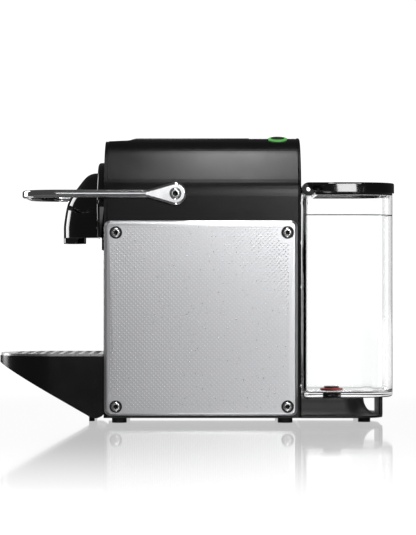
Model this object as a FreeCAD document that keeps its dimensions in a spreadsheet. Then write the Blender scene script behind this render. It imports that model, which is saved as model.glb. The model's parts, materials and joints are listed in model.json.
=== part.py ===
"""Pod coffee machine, millimetres, +Z up, front towards -Y, standing on Z = 0.

The spreadsheet holds the driving sizes. A Size carries a number together with the
spreadsheet expression that gives it, so that each feature below stays bound to the sheet.
"""
import FreeCAD, Part
import math
import os
import Sketcher

doc = FreeCAD.newDocument("PodCoffeeMachine")
sheet = doc.addObject("Spreadsheet::Sheet", "Sizes")
kept = []

# ---------------------------------------------------------------- sizes

DRIVING_SIZES = {
    # casing
    "barrel_radius": 50.0,
    "barrel_axis": 184.0,
    "shell_wall": 4.0,
    "frame_wall": 3.0,
    "frame_bottom": 4.0,
    "frame_top": 140.0,
    "body_front": -75.0,
    "body_rear": 85.5,
    "cover_wall": 2.5,
    "scoop_top": 231.2,
    "scoop_end": -58.0,
    "scoop_run": 11.5,
    # side panels
    "panel_front": -74.5,
    "panel_rear": 82.2,
    "panel_bottom": 6.1,
    "panel_top": 164.1,
    "panel_inside": 50.5,
    "half_width": 55.5,
    "panel_corner": 5.0,
    "panel_bevel": 2.1,
    "bolt_inset": 9.0,
    "bolt_head": 4.0,
    "bolt_shank": 2.0,
    # lever and cams
    "pivot_front": -16.7,
    "pivot_height": 186.0,
    "lever_reach": 126.0,
    "lever_depth": 6.5,
    "lever_inside": 50.9,
    "lever_bend": 30.0,
    "lever_eye": 9.3,
    "lever_neck": 21.9,
    "hub_radius": 6.0,
    "bush_wall": 2.0,
    "running_gap": 0.05,
    "cam_start": 14.0,
    "cam_rise": 28.0,
    "cam_turn": 95.0,
    "cam_inside": 32.6,
    "cam_plate": 2.5,
    "roller_radius": 3.0,
    # head
    "flange_front": -81.1,
    "flange_half": 38.5,
    "flange_bottom": 150.5,
    "flange_top": 213.6,
    "head_gap": 0.3,
    "dome_radius": 27.2,
    "dome_top": 204.6,
    "dome_wall": 2.5,
    "spout_radius": 9.4,
    "spout_bottom": 145.9,
    "carriage_wall": 3.0,
    # brew unit
    "cage_radius": 23.0,
    "cage_bore": 19.5,
    "cage_front": -70.8,
    "cage_depth": 27.0,
    # controls
    "button_radius": 5.65,
    "button_top": 51.1,
    "button_lean": 13.3,
    "button_rear": 67.3,
    "button_travel": 1.2,
    "inset_half": 21.4,
    "inset_front": 43.5,
    # tank
    "tank_front": 87.5,
    "tank_rear": 161.8,
    "tank_half": 48.0,
    "tank_corner": 30.0,
    "tank_bottom": 20.2,
    "tank_floor": 24.0,
    "tank_top": 185.0,
    "tank_wall": 2.0,
    "valve_rear": 112.4,
    "valve_stem": 7.45,
    "hinge_pin_radius": 1.7,
    "hinge_pin_rear": 91.5,
    "hinge_pin_height": 190.0,
    "lid_top": 195.5,
    "lid_plate": 2.7,
    "lid_lip": 1.2,
    # tank base
    "base_top": 19.9,
    "base_rear": 137.5,
    "base_half": 42.0,
    "plinth_rear": 153.0,
    "plinth_half": 47.0,
    "plinth_bottom": 3.7,
    "plinth_top": 5.5,
    "base_flare": 4.8,
    "gland_left": 20.0,
    "gland_root": 3.4,
    "gland_collar": 4.6,
    # drawer and tray
    "drawer_half": 44.0,
    "drawer_rear": 12.0,
    "drawer_gap": 0.4,
    "container_top": 131.0,
    "container_half": 42.0,
    "container_wall": 2.0,
    "tray_tip": -163.0,
    "tray_top": 54.0,
    "tray_side_gap": 0.9,
    "tray_tip_bottom": 48.6,
    "tray_rear": -74.6,
    "tray_half": 45.0,
    "tray_wall": 2.5,
    "tray_pivot_front": -82.0,
    "tray_pivot_height": 12.5,
    "tray_heel": 9.0,
    "tray_turn": 57.0,
    "grid_thickness": 1.8,
    "grid_pitch": 8.0,
    # feet
    "foot_radius": 6.0,
}


class Size:
    """A number and the spreadsheet expression that gives it."""

    def __init__(self, value, text):
        self.value = value
        self.text = text

    def __add__(self, other):
        other = size(other)
        return Size(self.value + other.value, f"({self.text} + {other.text})")

    def __sub__(self, other):
        other = size(other)
        return Size(self.value - other.value, f"({self.text} - {other.text})")

    def __mul__(self, other):
        other = size(other)
        return Size(self.value * other.value, f"({self.text} * {other.text})")

    def __truediv__(self, other):
        other = size(other)
        return Size(self.value / other.value, f"({self.text} / {other.text})")

    def __neg__(self):
        return Size(-self.value, f"(0 - {self.text})")

    def __radd__(self, other):
        return size(other) + self

    def __rsub__(self, other):
        return size(other) - self

    def __rmul__(self, other):
        return size(other) * self


def size(thing):
    """Take a Size as it is, and a plain number as an expression of its own."""
    if isinstance(thing, Size):
        return thing
    return Size(float(thing), f"({float(thing)})")


def sine(angle):
    return Size(math.sin(math.radians(angle.value)), f"sin({angle.text})")


def cosine(angle):
    return Size(math.cos(math.radians(angle.value)), f"cos({angle.text})")


def square_root(number):
    return Size(math.sqrt(number.value), f"sqrt({number.text})")


def arc_sine(number):
    return Size(math.degrees(math.asin(number.value)), f"(asin({number.text}) / (1 deg))")


def arc_tangent(number):
    return Size(math.degrees(math.atan(number.value)), f"(atan({number.text}) / (1 deg))")


def fill_sheet():
    """Write each driving size to its own cell and return it under its alias."""
    named = {}
    for row, (alias, value) in enumerate(DRIVING_SIZES.items(), start=1):
        sheet.set(f"A{row}", alias)
        sheet.set(f"B{row}", str(value))
        sheet.setAlias(f"B{row}", alias)
        named[alias] = Size(value, f"Sizes.{alias}")
    doc.recompute()
    return named


S = fill_sheet()

# ---------------------------------------------------------------- helpers

AXES = {"x": FreeCAD.Vector(1, 0, 0), "y": FreeCAD.Vector(0, 1, 0), "z": FreeCAD.Vector(0, 0, 1)}
PLANES = {"x": "YZ_Plane", "y": "XZ_Plane", "z": "XY_Plane"}


def bind(feature, prop, amount):
    feature.setExpression(prop, size(amount).text)


def place(feature, x=0, y=0, z=0):
    for axis, amount in (("x", x), ("y", y), ("z", z)):
        bind(feature, f".Placement.Base.{axis}", amount)


def box(name, x, y, z):
    """A block between two Sizes along each axis."""
    block = doc.addObject("Part::Box", name)
    for prop, span in (("Length", x), ("Width", y), ("Height", z)):
        bind(block, prop, size(span[1]) - span[0])
    place(block, x[0], y[0], z[0])
    return block


def rod(name, axis, across, along, radius):
    """A cylinder along an axis; across holds its place on the two other axes, in order."""
    rounds = doc.addObject("Part::Cylinder", name)
    bind(rounds, "Radius", radius)
    bind(rounds, "Height", size(along[1]) - along[0])
    rounds.Placement.Rotation = FreeCAD.Rotation(AXES["z"], AXES[axis])
    others = [other for other in "xyz" if other != axis]
    spots = {axis: along[0], others[0]: across[0], others[1]: across[1]}
    place(rounds, **spots)
    return rounds


def fuse(name, pieces):
    whole = doc.addObject("Part::MultiFuse", name)
    whole.Shapes = pieces
    return whole


def common(name, pieces):
    whole = doc.addObject("Part::MultiCommon", name)
    whole.Shapes = pieces
    return whole


def cut(name, base, tools):
    """The base less every tool; what is cut is measured, so that a tool that misses is found."""
    tool = tools[0]
    if len(tools) > 1:
        tool = fuse(name + "_tools", tools)
    rest = doc.addObject("Part::Cut", name)
    rest.Base = base
    rest.Tool = tool
    doc.recompute()
    if rest.Shape.Volume > base.Shape.Volume - 0.01:
        raise ValueError(f"{name}: the cut removes nothing")
    return rest


def mirrored(name, source):
    twin = doc.addObject("Part::Mirroring", name)
    twin.Source = source
    twin.Normal = AXES["x"]
    return twin


def both_sides(name, source):
    return fuse(name, [source, mirrored(name + "_twin", source)])


def arc_centre(start, end, radius, turn):
    """The centre of the short arc from start to end that turns left (1) or right (-1)."""
    chord = end - start
    rise = math.sqrt(max(radius ** 2 - (chord.Length / 2) ** 2, 0.0))
    left = FreeCAD.Vector(-chord.y, chord.x, 0).normalize()
    return (start + end) * 0.5 + left * rise * turn


def draw(sketch, corners):
    """Close a chain through corners: (u, v) by a line, (u, v, radius, turn) by an arc."""
    spots = [(size(corner[0]), size(corner[1])) for corner in corners]
    points = [FreeCAD.Vector(u.value, v.value, 0) for u, v in spots]
    starts = {}
    ends = {}
    for index, corner in enumerate(corners):
        start = points[index - 1]
        end = points[index]
        if len(corner) == 2:
            edge = sketch.addGeometry(Part.LineSegment(start, end), False)
            starts[index] = (edge, 1)
            ends[index] = (edge, 2)
            continue
        radius = size(corner[2])
        centre = arc_centre(start, end, radius.value, corner[3])
        circle = Part.Circle(centre, AXES["z"], radius.value)
        first, last = (start, end) if corner[3] > 0 else (end, start)
        angles = [math.atan2(spot.y - centre.y, spot.x - centre.x) for spot in (first, last)]
        edge = sketch.addGeometry(Part.ArcOfCircle(circle, *angles), False)
        starts[index] = (edge, 1) if corner[3] > 0 else (edge, 2)
        ends[index] = (edge, 2) if corner[3] > 0 else (edge, 1)
        rule = sketch.addConstraint(Sketcher.Constraint("Radius", edge, radius.value))
        bind(sketch, f"Constraints[{rule}]", radius)
    for index, (u, v) in enumerate(spots):
        follower = starts[(index + 1) % len(spots)]
        sketch.addConstraint(Sketcher.Constraint("Coincident", *ends[index], *follower))
        for kind, amount in (("DistanceX", u), ("DistanceY", v)):
            rule = sketch.addConstraint(Sketcher.Constraint(kind, -1, 1, *ends[index], amount.value))
            bind(sketch, f"Constraints[{rule}]", amount)


def new_sketch(body, name, axis, corners):
    sketch = body.newObject("Sketcher::SketchObject", name)
    plane = [part for part in body.Origin.OriginFeatures if part.Role == PLANES[axis]][0]
    sketch.AttachmentSupport = [(plane, "")]
    sketch.MapMode = "FlatFace"
    draw(sketch, corners)
    return sketch


def pad(body, name, axis, corners, along):
    """Pad a closed outline along an axis, from along[0] to along[1]."""
    sketch = new_sketch(body, name + "_outline", axis, corners)
    low, high = size(along[0]), size(along[1])
    bind(sketch, ".AttachmentOffset.Base.z", -high if axis == "y" else low)
    feature = body.newObject("PartDesign::Pad", name + "_pad")
    feature.Profile = sketch
    bind(feature, "Length", high - low)
    return feature


def prism(name, axis, corners, along):
    body = doc.addObject("PartDesign::Body", name)
    pad(body, name, axis, corners, along)
    doc.recompute()
    return body


def turned(name, profile, x=0, y=0, z=0):
    """Turn an outline of (radius, height) corners about an upright axis at x, y."""
    body = doc.addObject("PartDesign::Body", name)
    sketch = new_sketch(body, name + "_outline", "y", profile)
    feature = body.newObject("PartDesign::Revolution", name + "_turn")
    feature.Profile = sketch
    feature.ReferenceAxis = (sketch, ["V_Axis"])
    place(body, x, y, z)
    doc.recompute()
    return body


def dress(body, kind, amount, wanted):
    """Add a Fillet or Chamfer to the edges of a body that wanted(edge) picks."""
    tip = body.Tip
    names = [f"Edge{index}" for index, edge in enumerate(tip.Shape.Edges, start=1) if wanted(edge)]
    if not names:
        raise ValueError(f"{body.Name}: no edge to dress")
    feature = body.newObject("PartDesign::" + kind, f"{body.Name}_{kind}_{len(body.Group)}")
    feature.Base = (tip, names)
    bind(feature, "Radius" if kind == "Fillet" else "Size", amount)
    doc.recompute()
    return body


def lies_at(edge, axis, amount):
    """True where the whole edge lies in the plane across an axis at an amount."""
    bounds = edge.BoundBox
    low = getattr(bounds, axis.upper() + "Min")
    high = getattr(bounds, axis.upper() + "Max")
    return abs(low - amount.value) < 0.01 and abs(high - amount.value) < 0.01


def runs_along(edge, axis):
    bounds = edge.BoundBox
    lengths = {"x": bounds.XLength, "y": bounds.YLength, "z": bounds.ZLength}
    others = [lengths[other] for other in "xyz" if other != axis]
    return lengths[axis] > 0.5 and max(others) < 0.01


def keep(feature, label):
    """Name a finished sub-part; its label is its file's name."""
    feature.Label = label
    kept.append(feature)
    return feature


def arch(name, radius, bottom, along):
    """A prism along Y with upright sides and a half-round top about the barrel's axis."""
    axis = S["barrel_axis"]
    corners = [
        (-radius, bottom),
        (radius, bottom),
        (radius, axis),
        (0, axis + radius, radius, 1),
        (-radius, axis, radius, 1),
    ]
    return prism(name, "y", corners, along)


def rounded_plan(name, front, rear, half, corner, along):
    """A prism along Z whose two rear corners are rounded."""
    corners = [
        (-half, front),
        (half, front),
        (half, rear - corner),
        (half - corner, rear, corner, 1),
        (-half + corner, rear),
        (-half, rear - corner, corner, 1),
    ]
    return prism(name, "z", corners, along)


def tube(name, points, bend, radius):
    """A round tube along straight runs joined by tangent quarter bends."""
    edges = []
    start = points[0]
    for before, at, after in zip(points, points[1:], points[2:]):
        into = (before - at).normalize()
        out = (after - at).normalize()
        first = at + into * bend
        last = at + out * bend
        middle = at + (into + out) * bend * (1 - math.sqrt(0.5))
        edges.append(Part.LineSegment(start, first).toShape())
        edges.append(Part.Arc(first, middle, last).toShape())
        start = last
    edges.append(Part.LineSegment(start, points[-1]).toShape())
    path = Part.Wire(edges)
    ring = Part.Wire([Part.Circle(points[0], points[1] - points[0], radius).toShape()])
    feature = doc.addObject("Part::Feature", name)
    feature.Shape = path.makePipeShell([ring], True, False)
    return feature


# ---------------------------------------------------------------- places worked out from the sizes

PIVOT_Y = S["pivot_front"]
PIVOT_Z = S["pivot_height"]
SHELL_INSIDE = S["barrel_radius"] - S["shell_wall"]
COVER_FRONT = S["body_rear"] - S["cover_wall"]
FRAME_FRONT = S["body_front"] + 3.0
FRAME_FLOOR = S["frame_bottom"] + S["frame_wall"]
BOLT_SPOTS = [
    (y, z)
    for y in (S["panel_front"] + S["bolt_inset"] + 0.5, S["panel_rear"] - S["bolt_inset"] + 0.9)
    for z in (S["panel_bottom"] + S["bolt_inset"] - 1.6, S["panel_top"] - S["bolt_inset"] - 0.7)
]
BOLT_GAP = 0.05
PILOT_RADIUS = 1.2
CASE_SCREW_X = S["barrel_radius"] - 2.3
CASE_SCREW_HEIGHTS = (30.0, 110.0, 146.0, 178.0)
CASE_SCREW_HEAD = 2.1
CASE_SCREW_SINK = 1.2


def bolt_holes(name, radius):
    """Bores through both sides of the machine, one for each pair of panel bolts."""
    reach = S["half_width"] + 1
    rods = [rod(f"{name}_{number}", "x", spot, (-reach, reach), radius)
            for number, spot in enumerate(BOLT_SPOTS)]
    return fuse(name, rods)


def case_screw_bores(name, along, radius=PILOT_RADIUS):
    rods = []
    for number, height in enumerate(CASE_SCREW_HEIGHTS):
        for side in (-1, 1):
            spot = (CASE_SCREW_X * side, size(height))
            rods.append(rod(f"{name}_{number}_{side + 1}", "y", spot, along, radius))
    return fuse(name, rods)


# ---------------------------------------------------------------- casing

def make_base_frame():
    outer = S["barrel_radius"]
    inner = outer - S["frame_wall"]
    corners = [
        (-outer, S["frame_bottom"]),
        (outer, S["frame_bottom"]),
        (outer, S["frame_top"]),
        (inner, S["frame_top"]),
        (inner, FRAME_FLOOR),
        (-inner, FRAME_FLOOR),
        (-inner, S["frame_top"]),
        (-outer, S["frame_top"]),
    ]
    channel = prism("frame_channel", "y", corners, (FRAME_FRONT, COVER_FRONT))
    wall = box("frame_wall_block", (-inner, inner), (S["drawer_rear"] + 2.0, S["drawer_rear"] + 4.5),
               (FRAME_FLOOR, FRAME_FLOOR + 60))
    walled = fuse("frame_with_wall", [channel, wall])
    tools = [bolt_holes("frame_bolt_holes", S["bolt_shank"] + BOLT_GAP),
             case_screw_bores("frame_pilots", (COVER_FRONT - 9, COVER_FRONT + 1))]
    keep(cut("frame_cut", walled, tools), "base_frame")


def make_upper_housing():
    radius = S["barrel_radius"]
    span = (FRAME_FRONT, COVER_FRONT)
    blank = arch("housing_blank", radius, S["frame_top"], span)
    top = S["barrel_axis"] + radius + 1
    end = S["scoop_end"]
    run = S["scoop_run"]
    scoop = [
        (FRAME_FRONT - 1, S["frame_top"] - 1),
        (COVER_FRONT + 1, S["frame_top"] - 1),
        (COVER_FRONT + 1, top),
        (end + run, top),
        (end + run, S["barrel_axis"] + radius),
        (end + run / 2, S["scoop_top"] / 2 + (S["barrel_axis"] + radius) / 2, run, 1),
        (end, S["scoop_top"], run, -1),
        (FRAME_FRONT - 1, S["scoop_top"] - 0.8),
    ]
    outline = prism("housing_side", "x", scoop, (-radius - 1, radius + 1))
    outside = common("housing_outside", [blank, outline])
    inside = arch("housing_inside", SHELL_INSIDE, S["frame_top"] - 1,
                  (FRAME_FRONT - 1, COVER_FRONT + 1))
    half = S["inset_half"]
    inset = box("housing_inset", (-half, half), (S["inset_front"], COVER_FRONT + 1),
                (S["barrel_axis"] + SHELL_INSIDE * 0.5, S["barrel_axis"] + radius + 2))
    reach = radius + 1
    pivots = rod("housing_pivots", "x", (PIVOT_Y, PIVOT_Z), (-reach, reach),
                 S["hub_radius"] + S["running_gap"] + S["bush_wall"])
    tools = [inside, inset, pivots,
             bolt_holes("housing_bolt_holes", S["bolt_shank"] + BOLT_GAP),
             case_screw_bores("housing_pilots", (COVER_FRONT - 9, COVER_FRONT + 1))]
    keep(cut("housing_cut", outside, tools), "upper_housing")


def make_front_frame():
    """The front of the casing: an arched ring round the brew opening, over the drawer."""
    ring = arch("front_ring", S["barrel_radius"] - 2.8, S["container_top"] + 1,
                (S["body_front"], FRAME_FRONT))
    half = S["cam_inside"] + 0.5
    top = S["barrel_axis"] + 22
    opening = box("front_opening", (-half, half), (S["body_front"] - 1, FRAME_FRONT + 1),
                  (S["container_top"] + 7, top))
    legs = []
    for side in (-1, 1):
        outer = (S["barrel_radius"] - 0.2) * side
        inner = (S["tray_half"] + S["tray_side_gap"]) * side
        across = (outer, inner) if side < 0 else (inner, outer)
        legs.append(box(f"front_leg_{side + 1}", across, (S["body_front"], FRAME_FRONT),
                        (S["frame_bottom"], S["container_top"] + 1.5)))
    keep(cut("front_cut", fuse("front_whole", [ring] + legs), [opening]), "front_frame")


def make_rear_cover():
    plate = arch("rear_plate", S["barrel_radius"], S["frame_bottom"], (COVER_FRONT, S["body_rear"]))
    edge = S["body_rear"]
    dress(plate, "Fillet", 1.2,
          lambda piece: lies_at(piece, "y", edge) and piece.BoundBox.ZMax > S["barrel_axis"].value)
    catch_corners = [
        (S["body_rear"] - 0.5, 179.0),
        (S["body_rear"] + 1.5, 180.5),
        (S["body_rear"] + 1.5, 183.2),
        (S["body_rear"] - 0.5, 183.2),
    ]
    catch = prism("tank_catch", "x", catch_corners, (-9, 9))
    port = rod("hose_port", "y", (size(0), FRAME_FLOOR + 5), (COVER_FRONT - 1, edge + 1), 3.6)
    tools = [port, case_screw_bores("cover_bores", (COVER_FRONT - 1, edge + 1)),
             case_screw_bores("cover_sinks", (edge - CASE_SCREW_SINK, edge + 1), CASE_SCREW_HEAD)]
    keep(cut("rear_cut", fuse("rear_whole", [plate, catch]), tools), "rear_cover")


def make_control_cover():
    half = S["inset_half"] - 0.2
    ring = arch("control_ring", S["barrel_radius"] - 0.4, S["barrel_axis"] - 10,
                (S["inset_front"] + 0.2, COVER_FRONT))
    core = arch("control_core", SHELL_INSIDE + 0.6, S["barrel_axis"] - 11,
                (S["inset_front"] - 1, COVER_FRONT + 1))
    window = box("control_window", (-half, half), (S["inset_front"] + 0.1, COVER_FRONT + 0.1),
                 (S["barrel_axis"] + SHELL_INSIDE * 0.5, S["barrel_axis"] + S["barrel_radius"] + 1))
    plate = cut("control_plate", common("control_patch", [ring, window]), [core])
    wells = [leaning_rod(f"control_well_{side + 1}", side, SHELL_INSIDE - 6,
                         S["barrel_radius"] + 2, S["button_radius"] + 2.2)
             for side in (-1, 1)]
    keep(cut("control_cut", plate, wells), "control_cover")


def leaning_rod(name, side, low, high, radius):
    """A cylinder square to the barrel's skin at a button, between two radii of the barrel."""
    piece = doc.addObject("Part::Cylinder", name)
    bind(piece, "Radius", radius)
    bind(piece, "Height", size(high) - low)
    lean = S["button_lean"]
    piece.Placement.Rotation = FreeCAD.Rotation(AXES["y"], lean.value * side)
    place(piece, sine(lean) * low * side, S["button_rear"], S["barrel_axis"] + cosine(lean) * low)
    return piece


def make_controls():
    rings = []
    switches = []
    for side, label in ((-1, "espresso_button"), (1, "lungo_button")):
        button = leaning_rod(label + "_blank", side, SHELL_INSIDE, S["button_top"], S["button_radius"])
        keep(button, label)
        outer = leaning_rod(f"ring_outer_{side + 1}", side, SHELL_INSIDE + 0.8,
                            S["button_top"] - 0.5, S["button_radius"] + 2.15)
        inner = leaning_rod(f"ring_inner_{side + 1}", side, SHELL_INSIDE - 1,
                            S["button_top"] + 1, S["button_radius"] + 0.3)
        rings.append(cut(f"ring_cut_{side + 1}", outer, [inner]))
        switches.append(leaning_rod(f"switch_{side + 1}", side, SHELL_INSIDE - 9,
                                    SHELL_INSIDE - S["button_travel"] - 0.3, 3.0))
    keep(fuse("ring_pair", rings), "button_light_rings")
    board_top = S["barrel_axis"] + cosine(S["button_lean"]) * (SHELL_INSIDE - 9) + 1
    board = box("keypad_plate", (-18, 18), (S["button_rear"] - 12, COVER_FRONT),
                (board_top - 1.6, board_top))
    keep(fuse("keypad_whole", [board] + switches), "keypad_board")


def make_side_panels():
    front, rear = S["panel_front"], S["panel_rear"]
    bottom, top = S["panel_bottom"], S["panel_top"]
    corners = [(front, bottom), (rear, bottom), (rear, top), (front, top)]
    body = prism("panel_blank", "x", corners, (S["panel_inside"], S["half_width"]))
    dress(body, "Fillet", S["panel_corner"], lambda edge: runs_along(edge, "x"))
    dress(body, "Chamfer", S["panel_bevel"], lambda edge: lies_at(edge, "x", S["half_width"]))
    recess = (S["half_width"] - 1.1, S["half_width"] + 1)
    bores = []
    for number, spot in enumerate(BOLT_SPOTS):
        bores.append(rod(f"panel_recess_{number}", "x", spot, recess, S["bolt_head"] + 1.1))
        through = (S["panel_inside"] - 1, S["half_width"] - 1)
        bores.append(rod(f"panel_bore_{number}", "x", spot, through, S["bolt_shank"] + BOLT_GAP))
    panel = cut("panel_right", body, bores)
    keep(panel, "side_panel_right")
    keep(mirrored("panel_left", panel), "side_panel_left")


def hexagon(name, axis_spot, along, across_flats):
    """A hexagonal prism along X, for a socket."""
    reach = across_flats / math.sqrt(3)
    y, z = axis_spot
    corners = [(y + reach * math.cos(math.radians(60 * turn)),
                z + reach * math.sin(math.radians(60 * turn))) for turn in range(6)]
    return prism(name, "x", corners, along)


def make_panel_bolts():
    seat = S["half_width"] - 1.1
    bolts = []
    for number, spot in enumerate(BOLT_SPOTS):
        head = rod(f"bolt_head_{number}", "x", spot, (seat, S["half_width"]), S["bolt_head"])
        shank = rod(f"bolt_shank_{number}", "x", spot,
                    (S["barrel_radius"] - S["frame_wall"], seat), S["bolt_shank"])
        socket = hexagon(f"bolt_socket_{number}", spot, (seat, S["half_width"] + 1), 3.0)
        bolts.append(cut(f"bolt_{number}", fuse(f"bolt_blank_{number}", [head, shank]), [socket]))
    group = fuse("bolts_right", bolts)
    keep(group, "panel_bolts_right")
    keep(mirrored("bolts_left", group), "panel_bolts_left")


def make_case_screws():
    rods = []
    for number, height in enumerate(CASE_SCREW_HEIGHTS):
        for side in (-1, 1):
            spot = (CASE_SCREW_X * side, size(height))
            name = f"case_screw_{number}_{side + 1}"
            seat = S["body_rear"] - CASE_SCREW_SINK
            shank = rod(name + "_shank", "y", spot, (COVER_FRONT - 8, seat), PILOT_RADIUS)
            head = rod(name + "_head", "y", spot, (seat, S["body_rear"] - 0.1), CASE_SCREW_HEAD)
            rods.append(fuse(name, [shank, head]))
    keep(fuse("case_screw_group", rods), "cover_screws")


def make_feet():
    spots = [(x, y) for x in (-42.0, 42.0) for y in (-62.5, 72.5)]
    pads = [rod(f"foot_{number}", "z", (size(x), size(y)), (0, S["frame_bottom"]), S["foot_radius"])
            for number, (x, y) in enumerate(spots)]
    rear = [rod(f"rear_foot_{side + 1}", "z", (size(32.0 * side), S["base_rear"]),
                (0, S["plinth_bottom"]), S["foot_radius"] - 1) for side in (-1, 1)]
    keep(fuse("feet_group", pads + rear), "rubber_feet")


# ---------------------------------------------------------------- lever and its cams

def make_lever():
    half, inside = S["half_width"], S["lever_inside"]
    bend = S["lever_bend"]
    thick = half - inside
    tip = PIVOT_Y - S["lever_reach"]
    neck = PIVOT_Y - S["lever_neck"]
    turn = tip + bend
    corners = [
        (-half, neck),
        (-half, turn),
        (-half + bend, tip, bend, 1),
        (half - bend, tip),
        (half, turn, bend, 1),
        (half, neck),
        (inside, neck),
        (inside, turn),
        (half - bend, tip + thick, bend - thick, -1),
        (-half + bend, tip + thick),
        (-inside, turn, bend - thick, -1),
        (-inside, neck),
    ]
    rise = S["lever_depth"] / 2
    bar = prism("lever_bar", "z", corners, (PIVOT_Z - rise, PIVOT_Z + rise))
    dress(bar, "Fillet", 1.9, lambda edge: not lies_at(edge, "y", neck)
          and (lies_at(edge, "z", PIVOT_Z - rise) or lies_at(edge, "z", PIVOT_Z + rise)))
    eye = S["lever_eye"]
    away = square_root(S["lever_neck"] * S["lever_neck"] + rise * rise)
    slope = arc_sine(eye / away) - arc_tangent(rise / S["lever_neck"])
    side = eye * sine(slope)
    up = eye * cosine(slope)
    teardrop = [
        (neck - 1, PIVOT_Z - rise),
        (neck, PIVOT_Z - rise),
        (PIVOT_Y - side, PIVOT_Z - up),
        (PIVOT_Y + eye, PIVOT_Z, eye, 1),
        (PIVOT_Y - side, PIVOT_Z + up, eye, 1),
        (neck, PIVOT_Z + rise),
        (neck - 1, PIVOT_Z + rise),
    ]
    ear = prism("lever_ear", "x", teardrop, (inside, half))
    dress(ear, "Chamfer", 1.7, lambda edge: lies_at(edge, "x", half)
          and edge.BoundBox.YMax > neck.value + 0.1)
    screw = S["bolt_shank"] + BOLT_GAP
    bore = rod("lever_bore", "x", (PIVOT_Y, PIVOT_Z), (inside - 1, half + 1), screw)
    sink = rod("lever_sink", "x", (PIVOT_Y, PIVOT_Z), (half - 1.4, half + 1), 4.65)
    arm = cut("lever_arm", ear, [bore, sink])
    keep(fuse("lever_whole", [bar, arm, mirrored("lever_arm_twin", arm)]), "lever")


def make_lever_fittings():
    at = (PIVOT_Y, PIVOT_Z)
    hub_start = S["cam_inside"] + S["cam_plate"]
    bore = S["bolt_shank"] + BOLT_GAP
    hub = cut("hub_right", rod("hub_blank", "x", at, (hub_start, S["lever_inside"]), S["hub_radius"]),
              [rod("hub_bore", "x", at, (hub_start + 3, S["lever_inside"] + 1), bore)])
    keep(both_sides("hub_pair", hub), "pivot_hubs")
    head = rod("pivot_head", "x", at, (S["half_width"] - 1.4, S["half_width"] - 0.1), 4.6)
    shank = rod("pivot_shank", "x", at, (hub_start + 4, S["half_width"] - 1.4), S["bolt_shank"])
    socket = hexagon("pivot_socket", at, (S["half_width"] - 1.2, S["half_width"] + 1), 4.0)
    screw = cut("pivot_screw", fuse("pivot_screw_blank", [head, shank]), [socket])
    keep(both_sides("pivot_screw_pair", screw), "lever_screws")
    gap = S["hub_radius"] + S["running_gap"]
    ring = cut("bush_right", rod("bush_blank", "x", at, (SHELL_INSIDE, S["barrel_radius"]),
                                 gap + S["bush_wall"]),
               [rod("bush_bore", "x", at, (SHELL_INSIDE - 1, S["barrel_radius"] + 1), gap)])
    keep(both_sides("bush_pair", ring), "lever_bushes")


def spiral_point(turn, offset=0.0):
    """A point of the cam's spiral, moved off it by an offset along its own normal.

    The radius grows evenly with the turn, so the head moves evenly as the lever turns.
    The turn is in radians, downwards from the -Y direction about the lever's pivot.
    """
    rate = S["cam_rise"].value / math.radians(S["cam_turn"].value)
    radius = S["cam_start"].value + rate * turn
    outward = FreeCAD.Vector(0, -math.cos(turn), -math.sin(turn))
    onward = FreeCAD.Vector(0, math.sin(turn), -math.cos(turn))
    tangent = (outward * rate + onward * radius).normalize()
    normal = AXES["x"].cross(tangent)
    return outward * radius + normal * offset


def spiral_edge(offset, first, last, count=13):
    turns = [first + (last - first) * step / (count - 1) for step in range(count)]
    curve = Part.BSplineCurve()
    curve.interpolate([spiral_point(turn, offset) for turn in turns])
    return curve.toShape()


def make_cam_plates():
    """A fan-shaped plate with a spiral slot, that drives the head from the lever's hub."""
    full = math.radians(S["cam_turn"].value)
    slack = math.radians(2.0)
    half_slot = S["roller_radius"].value + 0.25
    thick = AXES["x"] * S["cam_plate"].value
    ends = []
    for turn, push in ((-slack, -1), (full + slack, 1)):
        sides = [spiral_point(turn, half_slot), spiral_point(turn, -half_slot)]
        along = (spiral_point(turn + push * 0.01) - spiral_point(turn)).normalize()
        middle = spiral_point(turn) + along * half_slot
        ends.append(Part.Arc(sides[0], middle, sides[1]).toShape())
    edges = [spiral_edge(half_slot, -slack, full + slack), ends[1],
             spiral_edge(-half_slot, -slack, full + slack), ends[0]]
    slot = Part.Face(Part.Wire(Part.__sortEdges__(edges))).extrude(thick)
    rim = half_slot + 2.3
    start, stop = -math.radians(14.0), full + math.radians(9.0)
    outer = spiral_edge(-rim, start, stop)
    if spiral_point(full, rim).Length > spiral_point(full, -rim).Length:
        outer = spiral_edge(rim, start, stop)
    tips = [outer.firstVertex().Point, outer.lastVertex().Point]
    centre = FreeCAD.Vector(0, 0, 0)
    fan_edges = [outer, Part.LineSegment(tips[1], centre).toShape(),
                 Part.LineSegment(centre, tips[0]).toShape()]
    fan = Part.Face(Part.Wire(fan_edges)).extrude(thick)
    disc = Part.makeCylinder(S["hub_radius"].value + 4, S["cam_plate"].value, centre, AXES["x"])
    solid = fan.fuse(disc).cut(slot).removeSplitter()
    cam = doc.addObject("Part::Feature", "cam_right")
    cam.Shape = solid
    place(cam, S["cam_inside"], PIVOT_Y, PIVOT_Z)
    keep(both_sides("cam_pair", cam), "cam_plates")


# ---------------------------------------------------------------- brewing head

ROLLER_Y = S["pivot_front"] - S["cam_start"]
FLANGE_REAR = S["body_front"] - S["head_gap"]
WEB_REAR = S["body_front"] + 1.7
SPOUT_Y = S["flange_front"] - S["dome_radius"] - 2.1 + S["spout_radius"]


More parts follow.
